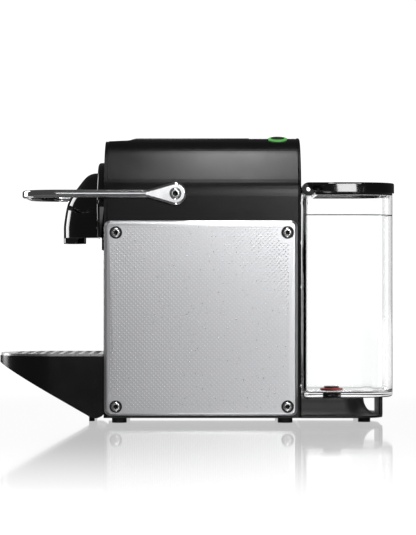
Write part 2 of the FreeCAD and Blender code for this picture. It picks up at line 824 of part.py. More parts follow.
def make_head_plate():
    half = S["flange_half"]
    axis = S["flange_top"] - half
    corners = [
        (-half, S["flange_bottom"]),
        (half, S["flange_bottom"]),
        (half, axis),
        (0, S["flange_top"], half, 1),
        (-half, axis, half, 1),
    ]
    plate = prism("flange", "y", corners, (S["flange_front"], FLANGE_REAR))
    dress(plate, "Fillet", 2.4, lambda edge: lies_at(edge, "y", S["flange_front"]))
    skirt = box("flange_skirt", (-34, 34), (FLANGE_REAR - 1.9, FLANGE_REAR),
                (S["flange_bottom"] - 10, S["flange_bottom"] + 1))
    duct = rod("flange_duct", "y", (size(0), PIVOT_Z - 16), (S["flange_front"] - 1, FLANGE_REAR + 1), 4.0)
    keep(cut("flange_cut", fuse("flange_whole", [plate, skirt]), [duct]), "head_plate")


def dome_outline(inset):
    """The head's side outline: a long fall at the front, then a slope back to the flange."""
    rear = S["flange_front"]
    front = rear - S["dome_radius"] - 2.1
    top = S["dome_top"]
    bottom = S["flange_bottom"]
    return [
        (rear, bottom + inset),
        (rear, top - inset),
        (rear - 17.9, top - 12.2 - inset, 60, 1),
        (front + 2.2 + inset, top - 28.1, 26, 1),
        (front + inset, top - 43.6, 80, 1),
        (front + inset, bottom + inset),
    ]


def make_outlet_housing():
    """A hollow dome, round in plan, that closes against the flange."""
    shells = []
    nose = 2.1
    for name, inset in (("dome_out", 0), ("dome_in", S["dome_wall"])):
        radius = S["dome_radius"] - inset
        centre = S["flange_front"] - nose
        half = S["dome_radius"] + 2
        side = prism(name + "_side", "x", dome_outline(inset), (-half, half))
        plan = [
            (-radius, S["flange_front"] + 0.01),
            (-radius, centre),
            (0, centre - radius, radius, 1),
            (radius, centre, radius, 1),
            (radius, S["flange_front"] + 0.01),
        ]
        column = prism(name + "_plan", "z", plan, (S["flange_bottom"] - 1, S["dome_top"] + 1))
        shells.append(common(name, [side, column]))
    seat = rod("dome_spout_bore", "z", (size(0), SPOUT_Y),
               (S["flange_bottom"] - 1, S["flange_bottom"] + S["dome_wall"] + 1),
               S["spout_radius"] - 1.4)
    keep(cut("dome_cut", shells[0], [shells[1], seat]), "outlet_housing")


def make_spout():
    """The outlet: a short nozzle whose collar sits under the dome."""
    low, high = S["spout_bottom"], S["flange_bottom"]
    wide = S["spout_radius"]
    neck = wide - 1.45
    bore = 4.0
    top = high + S["dome_wall"] + 0.4
    profile = [(bore, low), (wide - 1, low), (wide, low + 1), (wide, high), (neck, high), (neck, top),
               (bore, top)]
    keep(turned("spout_turned", profile, y=SPOUT_Y), "spout")


def make_coffee_duct():
    low = S["flange_bottom"] + S["dome_wall"] + 0.4
    level = PIVOT_Z - 16
    corners = [
        (SPOUT_Y - 5, low),
        (SPOUT_Y + 6, low),
        (SPOUT_Y + 6, level - 5.5),
        (S["flange_front"], level - 5.5),
        (S["flange_front"], level + 5.5),
        (SPOUT_Y + 3, level + 5.5),
        (SPOUT_Y - 5, low + 8),
    ]
    block = prism("duct_block", "x", corners, (-6, 6))
    across = rod("duct_across", "y", (size(0), level), (SPOUT_Y, S["flange_front"] + 1), 4.0)
    down = rod("duct_down", "z", (size(0), SPOUT_Y), (low - 1, level), 4.0)
    keep(cut("duct_cut", block, [across, down]), "coffee_duct")


def make_carriage():
    """Two side plates and a web that carry the head and its cam rollers."""
    inner = S["cam_inside"] - 1 - S["carriage_wall"]
    outer = S["cam_inside"] - 1
    low, high = PIVOT_Z - 9, PIVOT_Z + 9
    arm = box("carriage_arm", (inner, outer), (FLANGE_REAR, ROLLER_Y + 6), (low, high))
    web = box("carriage_web", (-outer, outer), (FLANGE_REAR, WEB_REAR), (PIVOT_Z - 30, high))
    duct = rod("carriage_duct", "y", (size(0), PIVOT_Z - 16), (FLANGE_REAR - 1, WEB_REAR + 1), 4.0)
    pin = rod("carriage_pin_bore", "x", (ROLLER_Y, PIVOT_Z), (-outer - 1, outer + 1), 1.5)
    whole = fuse("carriage_blank", [arm, mirrored("carriage_arm_twin", arm), web])
    keep(cut("carriage_cut", whole, [duct, pin]), "head_carriage")
    roller = rod("roller_wheel", "x", (ROLLER_Y, PIVOT_Z),
                 (outer, S["cam_inside"] + S["cam_plate"]), S["roller_radius"])
    stub = rod("roller_pin", "x", (ROLLER_Y, PIVOT_Z), (inner, outer + 0.5), 1.5)
    keep(both_sides("roller_pair", fuse("roller_whole", [roller, stub])), "cam_rollers")
    plate = rod("piercing_disc", "y", (size(0), PIVOT_Z - 6), (WEB_REAR, WEB_REAR + 1.6),
                S["cage_bore"] - 0.5)
    points = [rod(f"piercing_hole_{row}_{column}", "y",
                  (size(4.5 * column), PIVOT_Z - 6 + 4.5 * row), (WEB_REAR - 1, WEB_REAR + 3), 1.0)
              for row in range(-2, 3) for column in range(-2, 3)]
    keep(cut("piercing_cut", plate, points), "piercing_plate")
    slide = [
        (FLANGE_REAR, PIVOT_Z - 38),
        (FLANGE_REAR + 34, PIVOT_Z - 47),
        (FLANGE_REAR + 34, PIVOT_Z - 45),
        (FLANGE_REAR, PIVOT_Z - 33),
    ]
    keep(prism("slide_plate", "x", slide, (-20, 20)), "capsule_slide")


# ---------------------------------------------------------------- brew unit and water circuit

CAGE_REAR = S["cage_front"] + S["cage_depth"]
BREW_PLATE = 3.0


def make_brew_unit():
    centre = (size(0), PIVOT_Z - 6)
    cup = rod("cage_outer", "y", centre, (S["cage_front"], CAGE_REAR), S["cage_radius"])
    well = rod("cage_well", "y", centre, (S["cage_front"] - 1, CAGE_REAR - 3), S["cage_bore"])
    keep(cut("cage_cut", cup, [well]), "capsule_cage")
    plate = box("brew_plate", (-27, 27), (CAGE_REAR, CAGE_REAR + BREW_PLATE),
                (PIVOT_Z - 34, S["barrel_axis"] + 31))
    rails = [box(f"brew_rail_{side + 1}", (24 * side - 3, 24 * side + 3), (FRAME_FRONT, CAGE_REAR + 1),
                 (S["barrel_axis"] + 24, S["barrel_axis"] + 31)) for side in (-1, 1)]
    keep(fuse("brew_whole", [plate] + rails), "brew_frame")
    rear = CAGE_REAR + BREW_PLATE
    block = prism("thermoblock_blank", "z", [(-25, rear), (25, rear), (25, rear + 46), (-25, rear + 46)],
                  (PIVOT_Z - 32, PIVOT_Z + 10))
    dress(block, "Fillet", 5, lambda edge: runs_along(edge, "z") and edge.BoundBox.YMin > rear.value + 1)
    grooves = [box(f"thermoblock_groove_{step}", (-26, 26), (rear + 8 + step * 8, rear + 10.5 + step * 8),
                   (PIVOT_Z + 7, PIVOT_Z + 11)) for step in range(4)]
    keep(cut("thermoblock_cut", block, grooves), "thermoblock")
    cap = rod("thermostat_can", "z", (size(0), rear + 38), (PIVOT_Z + 10, PIVOT_Z + 17), 6.0)
    keep(cap, "thermostat")


PUMP_Y = S["drawer_rear"] + 36
METER_Y = COVER_FRONT - 8.2
HOSE_LEVEL = FRAME_FLOOR + 5


def make_water_circuit():
    stack = [
        rod("pump_inlet", "z", (size(0), PUMP_Y), (size(24), size(34)), 4.0),
        rod("pump_base", "z", (size(0), PUMP_Y), (size(30), size(44)), 13.0),
        box("pump_coil", (-18, 18), (PUMP_Y - 16, PUMP_Y + 14), (size(44), size(84))),
        rod("pump_neck", "z", (size(0), PUMP_Y), (size(84), size(104)), 9.0),
        rod("pump_outlet", "z", (size(0), PUMP_Y), (size(104), size(112)), 4.0),
    ]
    keep(fuse("pump_whole", stack), "pump")
    mounts = [rod(f"pump_mount_{side + 1}", "z", (size(12.0 * side), PUMP_Y - 8),
                  (FRAME_FLOOR, size(44)), 4.0) for side in (-1, 1)]
    rests = [cut(f"pump_mount_clear_{number}", mount,
                 [rod(f"pump_mount_bore_{number}", "z", (size(0), PUMP_Y), (size(29), size(45)), 13.2)])
             for number, mount in enumerate(mounts)]
    keep(fuse("pump_mount_pair", rests), "pump_mounts")
    meter = rod("meter_body", "z", (size(0), METER_Y), (FRAME_FLOOR, FRAME_FLOOR + 22), 7.5)
    keep(meter, "flow_meter")
    inlet = rod("inlet_tube", "y", (size(0), HOSE_LEVEL), (METER_Y + 7.5, S["valve_rear"] - 11), 3.0)
    port = rod("meter_flat", "z", (size(0), METER_Y), (FRAME_FLOOR - 1, FRAME_FLOOR + 23), 7.5)
    start = rod("inlet_start", "y", (size(0), HOSE_LEVEL), (METER_Y, METER_Y + 8), 3.0)
    keep(cut("inlet_cut", fuse("inlet_whole", [inlet, start]), [port]), "inlet_hose")
    point = FreeCAD.Vector
    low = FRAME_FLOOR.value + 22
    keep(tube("suction_tube", [point(0, METER_Y.value, low), point(0, METER_Y.value, low + 9),
                               point(24, METER_Y.value, low + 9), point(24, PUMP_Y.value, low + 9),
                               point(24, PUMP_Y.value, 19), point(0, PUMP_Y.value, 19),
                               point(0, PUMP_Y.value, 24)], 4.0, 2.5), "pump_hose")
    rear = CAGE_REAR.value + BREW_PLATE + 46
    level = PIVOT_Z.value - 14
    keep(tube("pressure_tube", [point(0, PUMP_Y.value, 112), point(0, PUMP_Y.value, level),
                                point(0, rear, level)], 9.0, 2.5), "pressure_hose")


def make_electronics():
    board = box("board_plate", (-34, 34), (COVER_FRONT - 1.8, COVER_FRONT), (size(96), size(172)))
    parts = [
        box("board_relay", (-26, -8), (COVER_FRONT - 15, COVER_FRONT - 1.7), (size(104), size(130))),
        box("board_supply", (4, 28), (COVER_FRONT - 18, COVER_FRONT - 1.7), (size(100), size(128))),
        rod("board_capacitor", "y", (size(-15), size(148)), (COVER_FRONT - 20, COVER_FRONT - 1.7), 7.0),
    ]
    keep(fuse("board_whole", [board] + parts), "control_board")


# ---------------------------------------------------------------- tank and its base

def make_tank():
    front, rear, half = S["tank_front"], S["tank_rear"], S["tank_half"]
    wall, corner = S["tank_wall"], S["tank_corner"]
    outer = rounded_plan("tank_outer", front, rear, half, corner, (S["tank_bottom"], S["tank_top"]))
    dress(outer, "Fillet", 4.0, lambda edge: runs_along(edge, "z")
          and abs(edge.BoundBox.YMin - front.value) < 0.01)
    dress(outer, "Fillet", 2.2, lambda edge: lies_at(edge, "z", S["tank_bottom"]))
    inner = rounded_plan("tank_inner", front + wall, rear - wall, half - wall, corner - wall,
                         (S["tank_floor"], S["tank_top"] + 1))
    dress(inner, "Fillet", 2.0, lambda edge: runs_along(edge, "z")
          and abs(edge.BoundBox.YMin - (front + wall).value) < 0.01)
    dress(inner, "Fillet", 3.0, lambda edge: lies_at(edge, "z", S["tank_floor"]))
    relief = box("tank_rim_relief", (-half - 1, half + 1), (front - 1, S["hinge_pin_rear"] + 6.5),
                 (S["tank_top"] - 1.2, S["tank_top"] + 1))
    stem = rod("tank_stem_bore", "z", (size(0), S["valve_rear"]),
               (S["tank_bottom"] - 1, S["tank_floor"] + 1), S["valve_stem"])
    shell = cut("tank_shell", outer, [inner, relief, stem])
    pin_y, pin_z, round_end = S["hinge_pin_rear"], S["hinge_pin_height"], size(3.7)
    ear_outline = [
        (front, S["tank_top"] - 6),
        (front + wall, S["tank_top"] - 6),
        (pin_y + round_end, S["tank_top"] - 0.8),
        (pin_y + round_end, pin_z),
        (pin_y, pin_z + round_end, round_end, 1),
        (pin_y - round_end, pin_z, round_end, 1),
        (pin_y - round_end, S["tank_top"] - 1),
        (front, S["tank_top"] - 1.5),
    ]
    ear = prism("tank_ear", "x", ear_outline, (30, 40))
    bore = rod("tank_pin_bore", "x", (pin_y, pin_z), (-41, 41), S["hinge_pin_radius"])
    whole = fuse("tank_whole", [shell, ear, mirrored("tank_ear_twin", ear)])
    keep(cut("tank_cut", whole, [bore]), "water_tank")
    pins = rod("lid_pin_right", "x", (pin_y, pin_z), (27, 44), S["hinge_pin_radius"])
    keep(both_sides("lid_pin_pair", pins), "lid_pins")


def make_valve():
    stem = S["valve_stem"]
    floor = S["tank_floor"]
    low = S["base_top"] - 1.0
    profile = [(4.5, low), (stem, low), (stem, floor), (9.3, floor), (9.3, floor + 2.1), (6.9, floor + 2.4),
               (4.5, floor + 2.4)]
    keep(turned("valve_turned", profile, y=S["valve_rear"]), "tank_valve")
    top = floor + 2.4
    cap = [(0, top), (6.85, top), (6.85, top + 4.6), (5.6, top + 5.8), (0, top + 5.8)]
    keep(turned("valve_cap_turned", cap, y=S["valve_rear"]), "valve_cap")


def make_lid():
    wall = S["tank_wall"]
    pin_y, pin_z = S["hinge_pin_rear"], S["hinge_pin_height"]
    rear, half, corner = S["tank_rear"], S["tank_half"], S["tank_corner"]
    lip = S["lid_lip"]
    low, under, top = S["tank_top"] + 0.3, S["lid_top"] - S["lid_plate"], S["lid_top"]
    nose = top - pin_z
    plate = rounded_plan("lid_plate_blank", pin_y, rear + lip, half + 0.2, corner, (under, top))
    dress(plate, "Fillet", 1.1, lambda edge: lies_at(edge, "z", top) and not lies_at(edge, "y", pin_y))
    skirt_start = pin_y + 5.4
    skirt = rounded_plan("lid_skirt", skirt_start, rear, half, corner, (low, under + 0.5))
    hollow = rounded_plan("lid_hollow", skirt_start + wall, rear - wall, half - wall, corner - wall,
                          (low - 1, under + 0.01))
    rim = cut("lid_rim", skirt, [hollow])
    knuckles = []
    for number, span in enumerate(((-29.6, 29.6), (-46.5, -40.4), (40.4, 46.5))):
        knuckle = rod(f"lid_knuckle_{number}", "x", (pin_y, pin_z), span, nose)
        web = box(f"lid_web_{number}", span, (pin_y, skirt_start + 0.5), (pin_z, under + 0.5))
        knuckles.extend([knuckle, web])
    ear_relief = [box(f"lid_relief_{side + 1}", (35.0 * side - 5.4, 35.0 * side + 5.4),
                      (pin_y - nose - 1, pin_y + 4.2), (low - 2, pin_z + 4.1)) for side in (-1, 1)]
    bore = rod("lid_bore", "x", (pin_y, pin_z), (-47, 47), S["hinge_pin_radius"] + S["running_gap"])
    whole = fuse("lid_whole", [plate, rim] + knuckles)
    keep(cut("lid_cut", whole, [bore] + ear_relief), "tank_lid")


def make_tank_base():
    """The pedestal under the tank, which flares into a plinth with the cord store round it."""
    front, rear, half, corner = S["body_rear"], S["base_rear"], S["base_half"], size(18.5)
    body = doc.addObject("PartDesign::Body", "base_body")
    plinth_half, plinth_rear, plinth_corner = S["plinth_half"], S["plinth_rear"], size(22)
    plinth = [
        (-plinth_half, front),
        (plinth_half, front),
        (plinth_half, plinth_rear - plinth_corner),
        (plinth_half - plinth_corner, plinth_rear, plinth_corner, 1),
        (-plinth_half + plinth_corner, plinth_rear),
        (-plinth_half, plinth_rear - plinth_corner, plinth_corner, 1),
    ]
    pad(body, "plinth", "z", plinth, (S["plinth_bottom"], S["plinth_top"]))
    column = [
        (-half, front),
        (half, front),
        (half, rear - corner),
        (half - corner, rear, corner, 1),
        (-half + corner, rear),
        (-half, rear - corner, corner, 1),
    ]
    pad(body, "pedestal", "z", column, (S["plinth_bottom"] + 0.5, S["base_top"]))
    doc.recompute()
    limit = (half + 0.1).value

    def foot_of_pedestal(edge):
        bounds = edge.BoundBox
        inside = bounds.XMax < limit and bounds.XMin > -limit and bounds.YMax < rear.value + 0.1
        return lies_at(edge, "z", S["plinth_top"]) and inside and bounds.YMin > front.value - 0.01

    dress(body, "Fillet", S["base_flare"], foot_of_pedestal)
    seat = rod("base_seat_bore", "z", (size(0), S["valve_rear"]), (size(7.5), S["base_top"] + 1), 11.0)
    channel = rod("base_hose_channel", "y", (size(0), HOSE_LEVEL), (front - 1, S["valve_rear"]), 3.6)
    gland_at = (-S["gland_left"], S["plinth_top"] + S["base_flare"] + S["gland_collar"])
    gland = rod("base_gland_bore", "y", gland_at, (rear - 8, rear + 8), S["gland_root"])
    keep(cut("base_cut", body, [seat, channel, gland]), "tank_base")
    guard = [
        (-28, plinth_rear - 3.0),
        (28, plinth_rear - 3.0),
        (28, plinth_rear),
        (-28, plinth_rear),
    ]
    post = prism("guard_blank", "z", guard, (S["plinth_top"], S["base_top"] - 0.1))
    dress(post, "Fillet", 1.2, lambda edge: runs_along(edge, "z"))
    keep(post, "cord_guard")
    nozzle = [
        rod("gland_root", "y", gland_at, (rear - 8, rear), S["gland_root"]),
        rod("gland_collar", "y", gland_at, (rear, rear + 2), S["gland_collar"]),
    ]
    keep(fuse("gland_whole", nozzle), "cord_gland")


def make_seat():
    at = S["valve_rear"]
    bottom, top = size(7.5), S["base_top"] - 0.1
    bore = S["valve_stem"] + 0.35
    profile = [(0, bottom), (11.0, bottom), (11.0, top), (bore, top), (bore, top - 3.4), (3.0, top - 3.4),
               (3.0, bottom + 3.0), (0, bottom + 3.0)]
    keep(turned("seat_turned", profile, y=at), "tank_seat")
    seal = [(3.6, top - 3.4), (bore - 0.4, top - 3.4), (bore - 0.4, top - 1.5), (3.6, top - 1.5)]
    keep(turned("seal_turned", seal, y=at), "seat_seal")


# ---------------------------------------------------------------- drawer, capsule container and tray

TRAY_Y = S["tray_pivot_front"]
TRAY_Z = S["tray_pivot_height"]
LUG_SPANS = ((-26.0, -20.0), (20.0, 26.0))


def tray_slope():
    """The angle of the tray's underside, which leaves the heel as a tangent."""
    run = TRAY_Y - S["tray_tip"]
    rise = S["tray_tip_bottom"] - TRAY_Z
    away = square_root(run * run + rise * rise)
    return arc_tangent(rise / run) + arc_sine(S["tray_heel"] / away)


def make_drip_tray():
    slope = tray_slope()
    heel = S["tray_heel"]
    low_y, low_z = TRAY_Y - heel * sine(slope), TRAY_Z - heel * cosine(slope)
    rear, top, tip = S["tray_rear"], S["tray_top"], S["tray_tip"]
    lift = square_root(heel * heel - (rear - TRAY_Y) * (rear - TRAY_Y))
    wedge = [
        (tip, S["tray_tip_bottom"]),
        (low_y, low_z),
        (TRAY_Y + heel, TRAY_Z, heel, 1),
        (rear, TRAY_Z + lift, heel, 1),
        (rear, top),
        (tip, top),
    ]
    half = S["tray_half"]
    side = prism("tray_side", "x", wedge, (-half - 1, half + 1))
    dress(side, "Fillet", 1.5, lambda edge: runs_along(edge, "x") and edge.BoundBox.YMax < tip.value + 0.5)

    def d_shape(name, inset, rear_at, along):
        radius = half - inset
        turn = tip + half
        corners = [
            (radius, turn, radius, 1),
            (radius, rear_at),
            (-radius, rear_at),
            (-radius, turn),
            (0, turn - radius, radius, 1),
        ]
        return prism(name, "z", corners, along)

    outer = d_shape("tray_plan", size(0), rear + 2, (size(0), top + 5))
    wall = S["tray_wall"]
    fall = sine(slope) / cosine(slope)
    stop = TRAY_Y - 17
    floor_lift = wall / cosine(slope)
    shelf = TRAY_Z + 20.5
    basin_side = [
        (tip + wall, S["tray_tip_bottom"] - fall * wall + floor_lift),
        (stop, S["tray_tip_bottom"] - fall * (stop - tip) + floor_lift),
        (stop, shelf),
        (rear - wall, shelf),
        (rear - wall, top + 6),
        (tip + wall, top + 6),
    ]
    basin_blank = prism("tray_basin_side", "x", basin_side, (-half - 1, half + 1))
    basin_plan = d_shape("tray_basin_plan", wall, rear - wall, (size(0), top + 7))
    blank = common("tray_blank", [side, outer])
    basin = common("tray_basin", [basin_blank, basin_plan])
    notches = [box(f"tray_notch_{number}", (low - 0.5, high + 0.5), (TRAY_Y - 14, TRAY_Y + 10),
                   (size(2.0), TRAY_Z + 17.5)) for number, (low, high) in enumerate(LUG_SPANS)]
    bore = rod("tray_bore", "x", (TRAY_Y, TRAY_Z), (-31.3, 31.3), 1.55)
    keep(cut("tray_cut", blank, [basin, bore] + notches), "drip_tray")
    plate = d_shape("grid_plan", size(1.0), rear - 1, (top, top + S["grid_thickness"]))
    slots = []
    pitch = S["grid_pitch"]
    start = tip + 14
    for row in range(9):
        at = start + pitch * row
        reach = half - 6
        depth = half - (start - tip) - pitch * row
        if depth.value > 0:
            reach = square_root((half - 6) * (half - 6) - depth * depth)
        for column, span in enumerate(((-reach, size(-1.5)), (size(1.5), reach))):
            slots.append(box(f"grid_slot_{row}_{column}", span, (at, at + pitch - 3),
                             (top - 1, top + S["grid_thickness"] + 1)))
    keep(cut("grid_cut", plate, slots), "drip_grid")


def make_drawer():
    half, rear = S["drawer_half"], S["drawer_rear"]
    low = FRAME_FLOOR + S["drawer_gap"]
    front = S["body_front"] + 2.7
    outline = [
        (front, low),
        (rear, low),
        (rear, low + 14),
        (front + 22, low + 14),
        (front, low + 1.3),
    ]
    base = prism("drawer_base", "x", outline, (-half, half))
    well = [
        (front + 24, low + 2),
        (rear - 2, low + 2),
        (rear - 2, low + 15),
        (front + 24, low + 15),
    ]
    hollow = prism("drawer_well", "x", well, (-half + 2, half - 2))
    lugs = []
    for number, span in enumerate(LUG_SPANS):
        knuckle = rod(f"lug_knuckle_{number}", "x", (TRAY_Y, TRAY_Z), span, 5.0)
        arm = box(f"lug_arm_{number}", span, (TRAY_Y, front + 1), (low, TRAY_Z + 3))
        heel = box(f"lug_heel_{number}", span, (TRAY_Y - 6.5, TRAY_Y + 1), (size(3.8), TRAY_Z - 3))
        lugs.extend([knuckle, arm, heel])
    shell = fuse("drawer_whole", [cut("drawer_shell", base, [hollow])] + lugs)
    bore = rod("drawer_pin_bore", "x", (TRAY_Y, TRAY_Z), (-27, 27), 1.5)
    keep(cut("drawer_cut", shell, [bore]), "drip_base")
    pins = [rod(f"tray_pin_{number}", "x", (TRAY_Y, TRAY_Z), (low_x - 5, high_x + 5), 1.5)
            for number, (low_x, high_x) in enumerate(LUG_SPANS)]
    keep(fuse("tray_pin_pair", pins), "tray_hinge_pins")
    feet = [rod(f"tray_foot_{side + 1}", "z", (size(23.0 * side), TRAY_Y - 3.8), (0, size(3.8)), 2.3)
            for side in (-1, 1)]
    keep(fuse("tray_foot_pair", feet), "tray_feet")


def make_capsule_container():
    """A bin whose lower front leans back, so that the tray folds up under it."""
    half, wall = S["container_half"], S["container_wall"]
    front, rear, top = S["body_front"], S["drawer_rear"], S["container_top"]
    low = FRAME_FLOOR + S["drawer_gap"] + 14
    knee = size(88.0)
    toe = front + 40
    outer = [
        (front, knee),
        (toe, low + 4),
        (toe + 4, low),
        (rear, low),
        (rear, top),
        (front, top),
    ]
    inner = [
        (front + wall, knee + 0.8),
        (toe + 1.6, low + wall + 4),
        (toe + 5, low + wall),
        (rear - wall, low + wall),
        (rear - wall, top + 1),
        (front + wall, top + 1),
    ]
    blank = prism("bin_blank", "x", outer, (-half, half))
    hollow = prism("bin_hollow", "x", inner, (-half + wall, half - wall))
    keep(cut("bin_cut", blank, [hollow]), "capsule_container")


# ---------------------------------------------------------------- build, check and write

def build_all():
    make_base_frame()
    make_upper_housing()
    make_front_frame()
    make_rear_cover()
    make_control_cover()
    make_controls()
    make_side_panels()
    make_panel_bolts()
    make_case_screws()
    make_feet()
    make_lever()
    make_lever_fittings()
    make_cam_plates()
    make_head_plate()
    make_outlet_housing()
    make_spout()
    make_coffee_duct()
    make_carriage()
    make_brew_unit()
    make_water_circuit()
    make_electronics()
    make_tank()
    make_valve()
    make_lid()
    make_tank_base()
    make_seat()
    make_drip_tray()
    make_drawer()
    make_capsule_container()


def check_all():
    doc.recompute()
    for feature in doc.Objects:
        if "Invalid" in feature.State or "Error" in feature.State:
            raise ValueError(f"{feature.Name} is {feature.State}")
    for feature in kept:
        if feature.Shape.isNull() or not feature.Shape.isValid() or not feature.Shape.Solids:
            raise ValueError(f"{feature.Label} has no valid shape")


def write_all():
    os.makedirs("parts", exist_ok=True)
    for feature in kept:
        feature.Shape.exportStep(os.path.join("parts", feature.Label + ".step"))
        bounds = feature.Shape.BoundBox
        print(f"{feature.Label}: {len(feature.Shape.Solids)} solid(s), {feature.Shape.Volume:.0f} mm3,"
              f" x {bounds.XMin:.1f} {bounds.XMax:.1f} y {bounds.YMin:.1f} {bounds.YMax:.1f}"
              f" z {bounds.ZMin:.1f} {bounds.ZMax:.1f}")
    print(f"{len(kept)} sub-parts")


build_all()
check_all()
write_all()
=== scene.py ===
# %% [markdown]
# # A pod coffee machine, finished in Blender
# The shapes that fit and move come from a CAD model, loaded as a fixed frame in metres:
# +Z is up, the front faces -Y, and +X is the machine's right side. This lesson gives each
# piece its surface, and remakes the few pieces whose real form is richer than the CAD solid.

# %% Load the frame
import json
import math

import bmesh
import bpy
import mathutils
import numpy as np
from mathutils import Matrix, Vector


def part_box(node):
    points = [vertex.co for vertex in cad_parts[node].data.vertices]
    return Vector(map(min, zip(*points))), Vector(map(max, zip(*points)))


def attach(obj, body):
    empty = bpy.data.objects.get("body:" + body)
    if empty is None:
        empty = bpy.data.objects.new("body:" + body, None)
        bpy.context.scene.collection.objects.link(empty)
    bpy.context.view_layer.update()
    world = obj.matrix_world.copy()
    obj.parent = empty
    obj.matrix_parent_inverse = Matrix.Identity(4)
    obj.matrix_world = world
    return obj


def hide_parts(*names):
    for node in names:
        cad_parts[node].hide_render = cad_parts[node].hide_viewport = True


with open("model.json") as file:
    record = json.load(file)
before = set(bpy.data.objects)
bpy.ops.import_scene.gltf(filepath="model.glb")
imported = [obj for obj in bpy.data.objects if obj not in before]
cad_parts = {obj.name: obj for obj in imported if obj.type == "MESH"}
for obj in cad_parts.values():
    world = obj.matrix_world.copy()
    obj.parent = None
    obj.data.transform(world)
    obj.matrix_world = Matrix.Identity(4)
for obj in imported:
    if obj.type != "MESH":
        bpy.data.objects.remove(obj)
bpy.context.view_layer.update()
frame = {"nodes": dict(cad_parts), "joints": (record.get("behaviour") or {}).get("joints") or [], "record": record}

MM = 0.001
nodes = frame["nodes"]


# %% [markdown]
# ## Camera, floor and light
# The machine is looked at square from its right side, from about two metres, so that its
# side reads almost as a drawing. The camera stands a little above the worktop. A long lens
# keeps the near panel and the far tank nearly the same scale.

# %% Place the camera
VIEW_DISTANCE = 1.955
EYE_HEIGHT = 0.116
LOOK_HEIGHT = 0.1264
SIDE_OFFSET = 0.0097

camera_data = bpy.data.cameras.new("side_camera")
camera_data.sensor_width = 36.0
camera_data.lens = 158.0
camera = bpy.data.objects.new("side_camera", camera_data)
camera.location = (VIEW_DISTANCE, SIDE_OFFSET, EYE_HEIGHT)
tilt = math.atan((LOOK_HEIGHT - EYE_HEIGHT) / VIEW_DISTANCE)
camera.rotation_euler = (math.pi / 2 + tilt, 0.0, math.pi / 2)
bpy.context.scene.collection.objects.link(camera)
bpy.context.scene.camera = camera
print("lens", camera_data.lens, "mm at", VIEW_DISTANCE, "m")


# %% [markdown]
# ## Materials
# Each finish is one Principled shader. Noise in the object's own coordinates does three jobs:
# it raises a fine grain, spreads the gloss between two values, or blends two near shades.

# %% Helpers for materials
def new_material(name, colour, metal=0.0, rough=0.4, **sockets):
    """A Principled material. Colour is linear RGB; other sockets are given by their names."""
    material = bpy.data.materials.new(name)
    material.use_nodes = True
    shader = material.node_tree.nodes["Principled BSDF"]
    shader.inputs["Base Color"].default_value = (*colour, 1.0)
    shader.inputs["Metallic"].default_value = metal
    shader.inputs["Roughness"].default_value = rough
    for socket, value in sockets.items():
        shader.inputs[socket.replace("_", " ")].default_value = value
    return material


def noise_texture(material, scale, detail=3.0, stretch=(1.0, 1.0, 1.0)):
    """Noise on Object coordinates, stretched along an axis by a scale below one."""
    tree = material.node_tree
    place = tree.nodes.new("ShaderNodeTexCoord")
    mapping = tree.nodes.new("ShaderNodeMapping")
    mapping.inputs["Scale"].default_value = stretch
    noise = tree.nodes.new("ShaderNodeTexNoise")
    noise.inputs["Scale"].default_value = scale
    noise.inputs["Detail"].default_value = detail
    tree.links.new(place.outputs["Object"], mapping.inputs["Vector"])
    tree.links.new(mapping.outputs["Vector"], noise.inputs["Vector"])
    return noise


def add_bump(material, scale, height, detail=3.0, stretch=(1.0, 1.0, 1.0), strength=1.0):
    """Raise the surface by a noise of the given height in metres."""
    tree = material.node_tree
    noise = noise_texture(material, scale, detail, stretch)
    bump = tree.nodes.new("ShaderNodeBump")
    bump.inputs["Strength"].default_value = strength
    bump.inputs["Distance"].default_value = height
    tree.links.new(noise.outputs["Fac"], bump.inputs["Height"])
    tree.links.new(bump.outputs["Normal"], tree.nodes["Principled BSDF"].inputs["Normal"])
    return material


def vary(material, socket, low, high, scale, detail=4.0, stretch=(1.0, 1.0, 1.0)):
    """Spread a socket between two values by noise, as handling and moulding leave it."""
    tree = material.node_tree
    noise = noise_texture(material, scale, detail, stretch)
    spread = tree.nodes.new("ShaderNodeMapRange")
    spread.inputs["From Min"].default_value = 0.3
    spread.inputs["From Max"].default_value = 0.7
    spread.inputs["To Min"].default_value = low
    spread.inputs["To Max"].default_value = high
    tree.links.new(noise.outputs["Fac"], spread.inputs["Value"])
    tree.links.new(spread.outputs["Result"], tree.nodes["Principled BSDF"].inputs[socket])
    return material


def tint(material, first, second, scale, detail=4.0, stretch=(1.0, 1.0, 1.0)):
    """Blend the base colour between two near shades by noise."""
    tree = material.node_tree
    noise = noise_texture(material, scale, detail, stretch)
    ramp = tree.nodes.new("ShaderNodeValToRGB")
    ramp.color_ramp.elements[0].position = 0.35
    ramp.color_ramp.elements[0].color = (*first, 1.0)
    ramp.color_ramp.elements[1].position = 0.65
    ramp.color_ramp.elements[1].color = (*second, 1.0)
    tree.links.new(noise.outputs["Fac"], ramp.inputs["Fac"])
    tree.links.new(ramp.outputs["Color"], tree.nodes["Principled BSDF"].inputs["Base Color"])
    return material


def paint_shade_by(material, attribute, dark):
    """Paint shade into the base colour: pull it towards a dark shade where the mesh's own attribute says so."""
    tree = material.node_tree
    amount = tree.nodes.new("ShaderNodeAttribute")
    amount.attribute_name = attribute
    blend = tree.nodes.new("ShaderNodeMix")
    blend.data_type = "RGBA"
    blend.inputs["B"].default_value = (*dark, 1.0)
    base = tree.nodes["Principled BSDF"].inputs["Base Color"]
    tree.links.new(base.links[0].from_socket, blend.inputs["A"])
    tree.links.new(amount.outputs["Fac"], blend.inputs["Factor"])
    tree.links.new(blend.outputs["Result"], base)
    return material


# %% [markdown]
# The machine stands on white lacquer, which mirrors it softly. The mirror is strongest near
# the feet and fades with distance, so that the sheet runs into the white behind it.

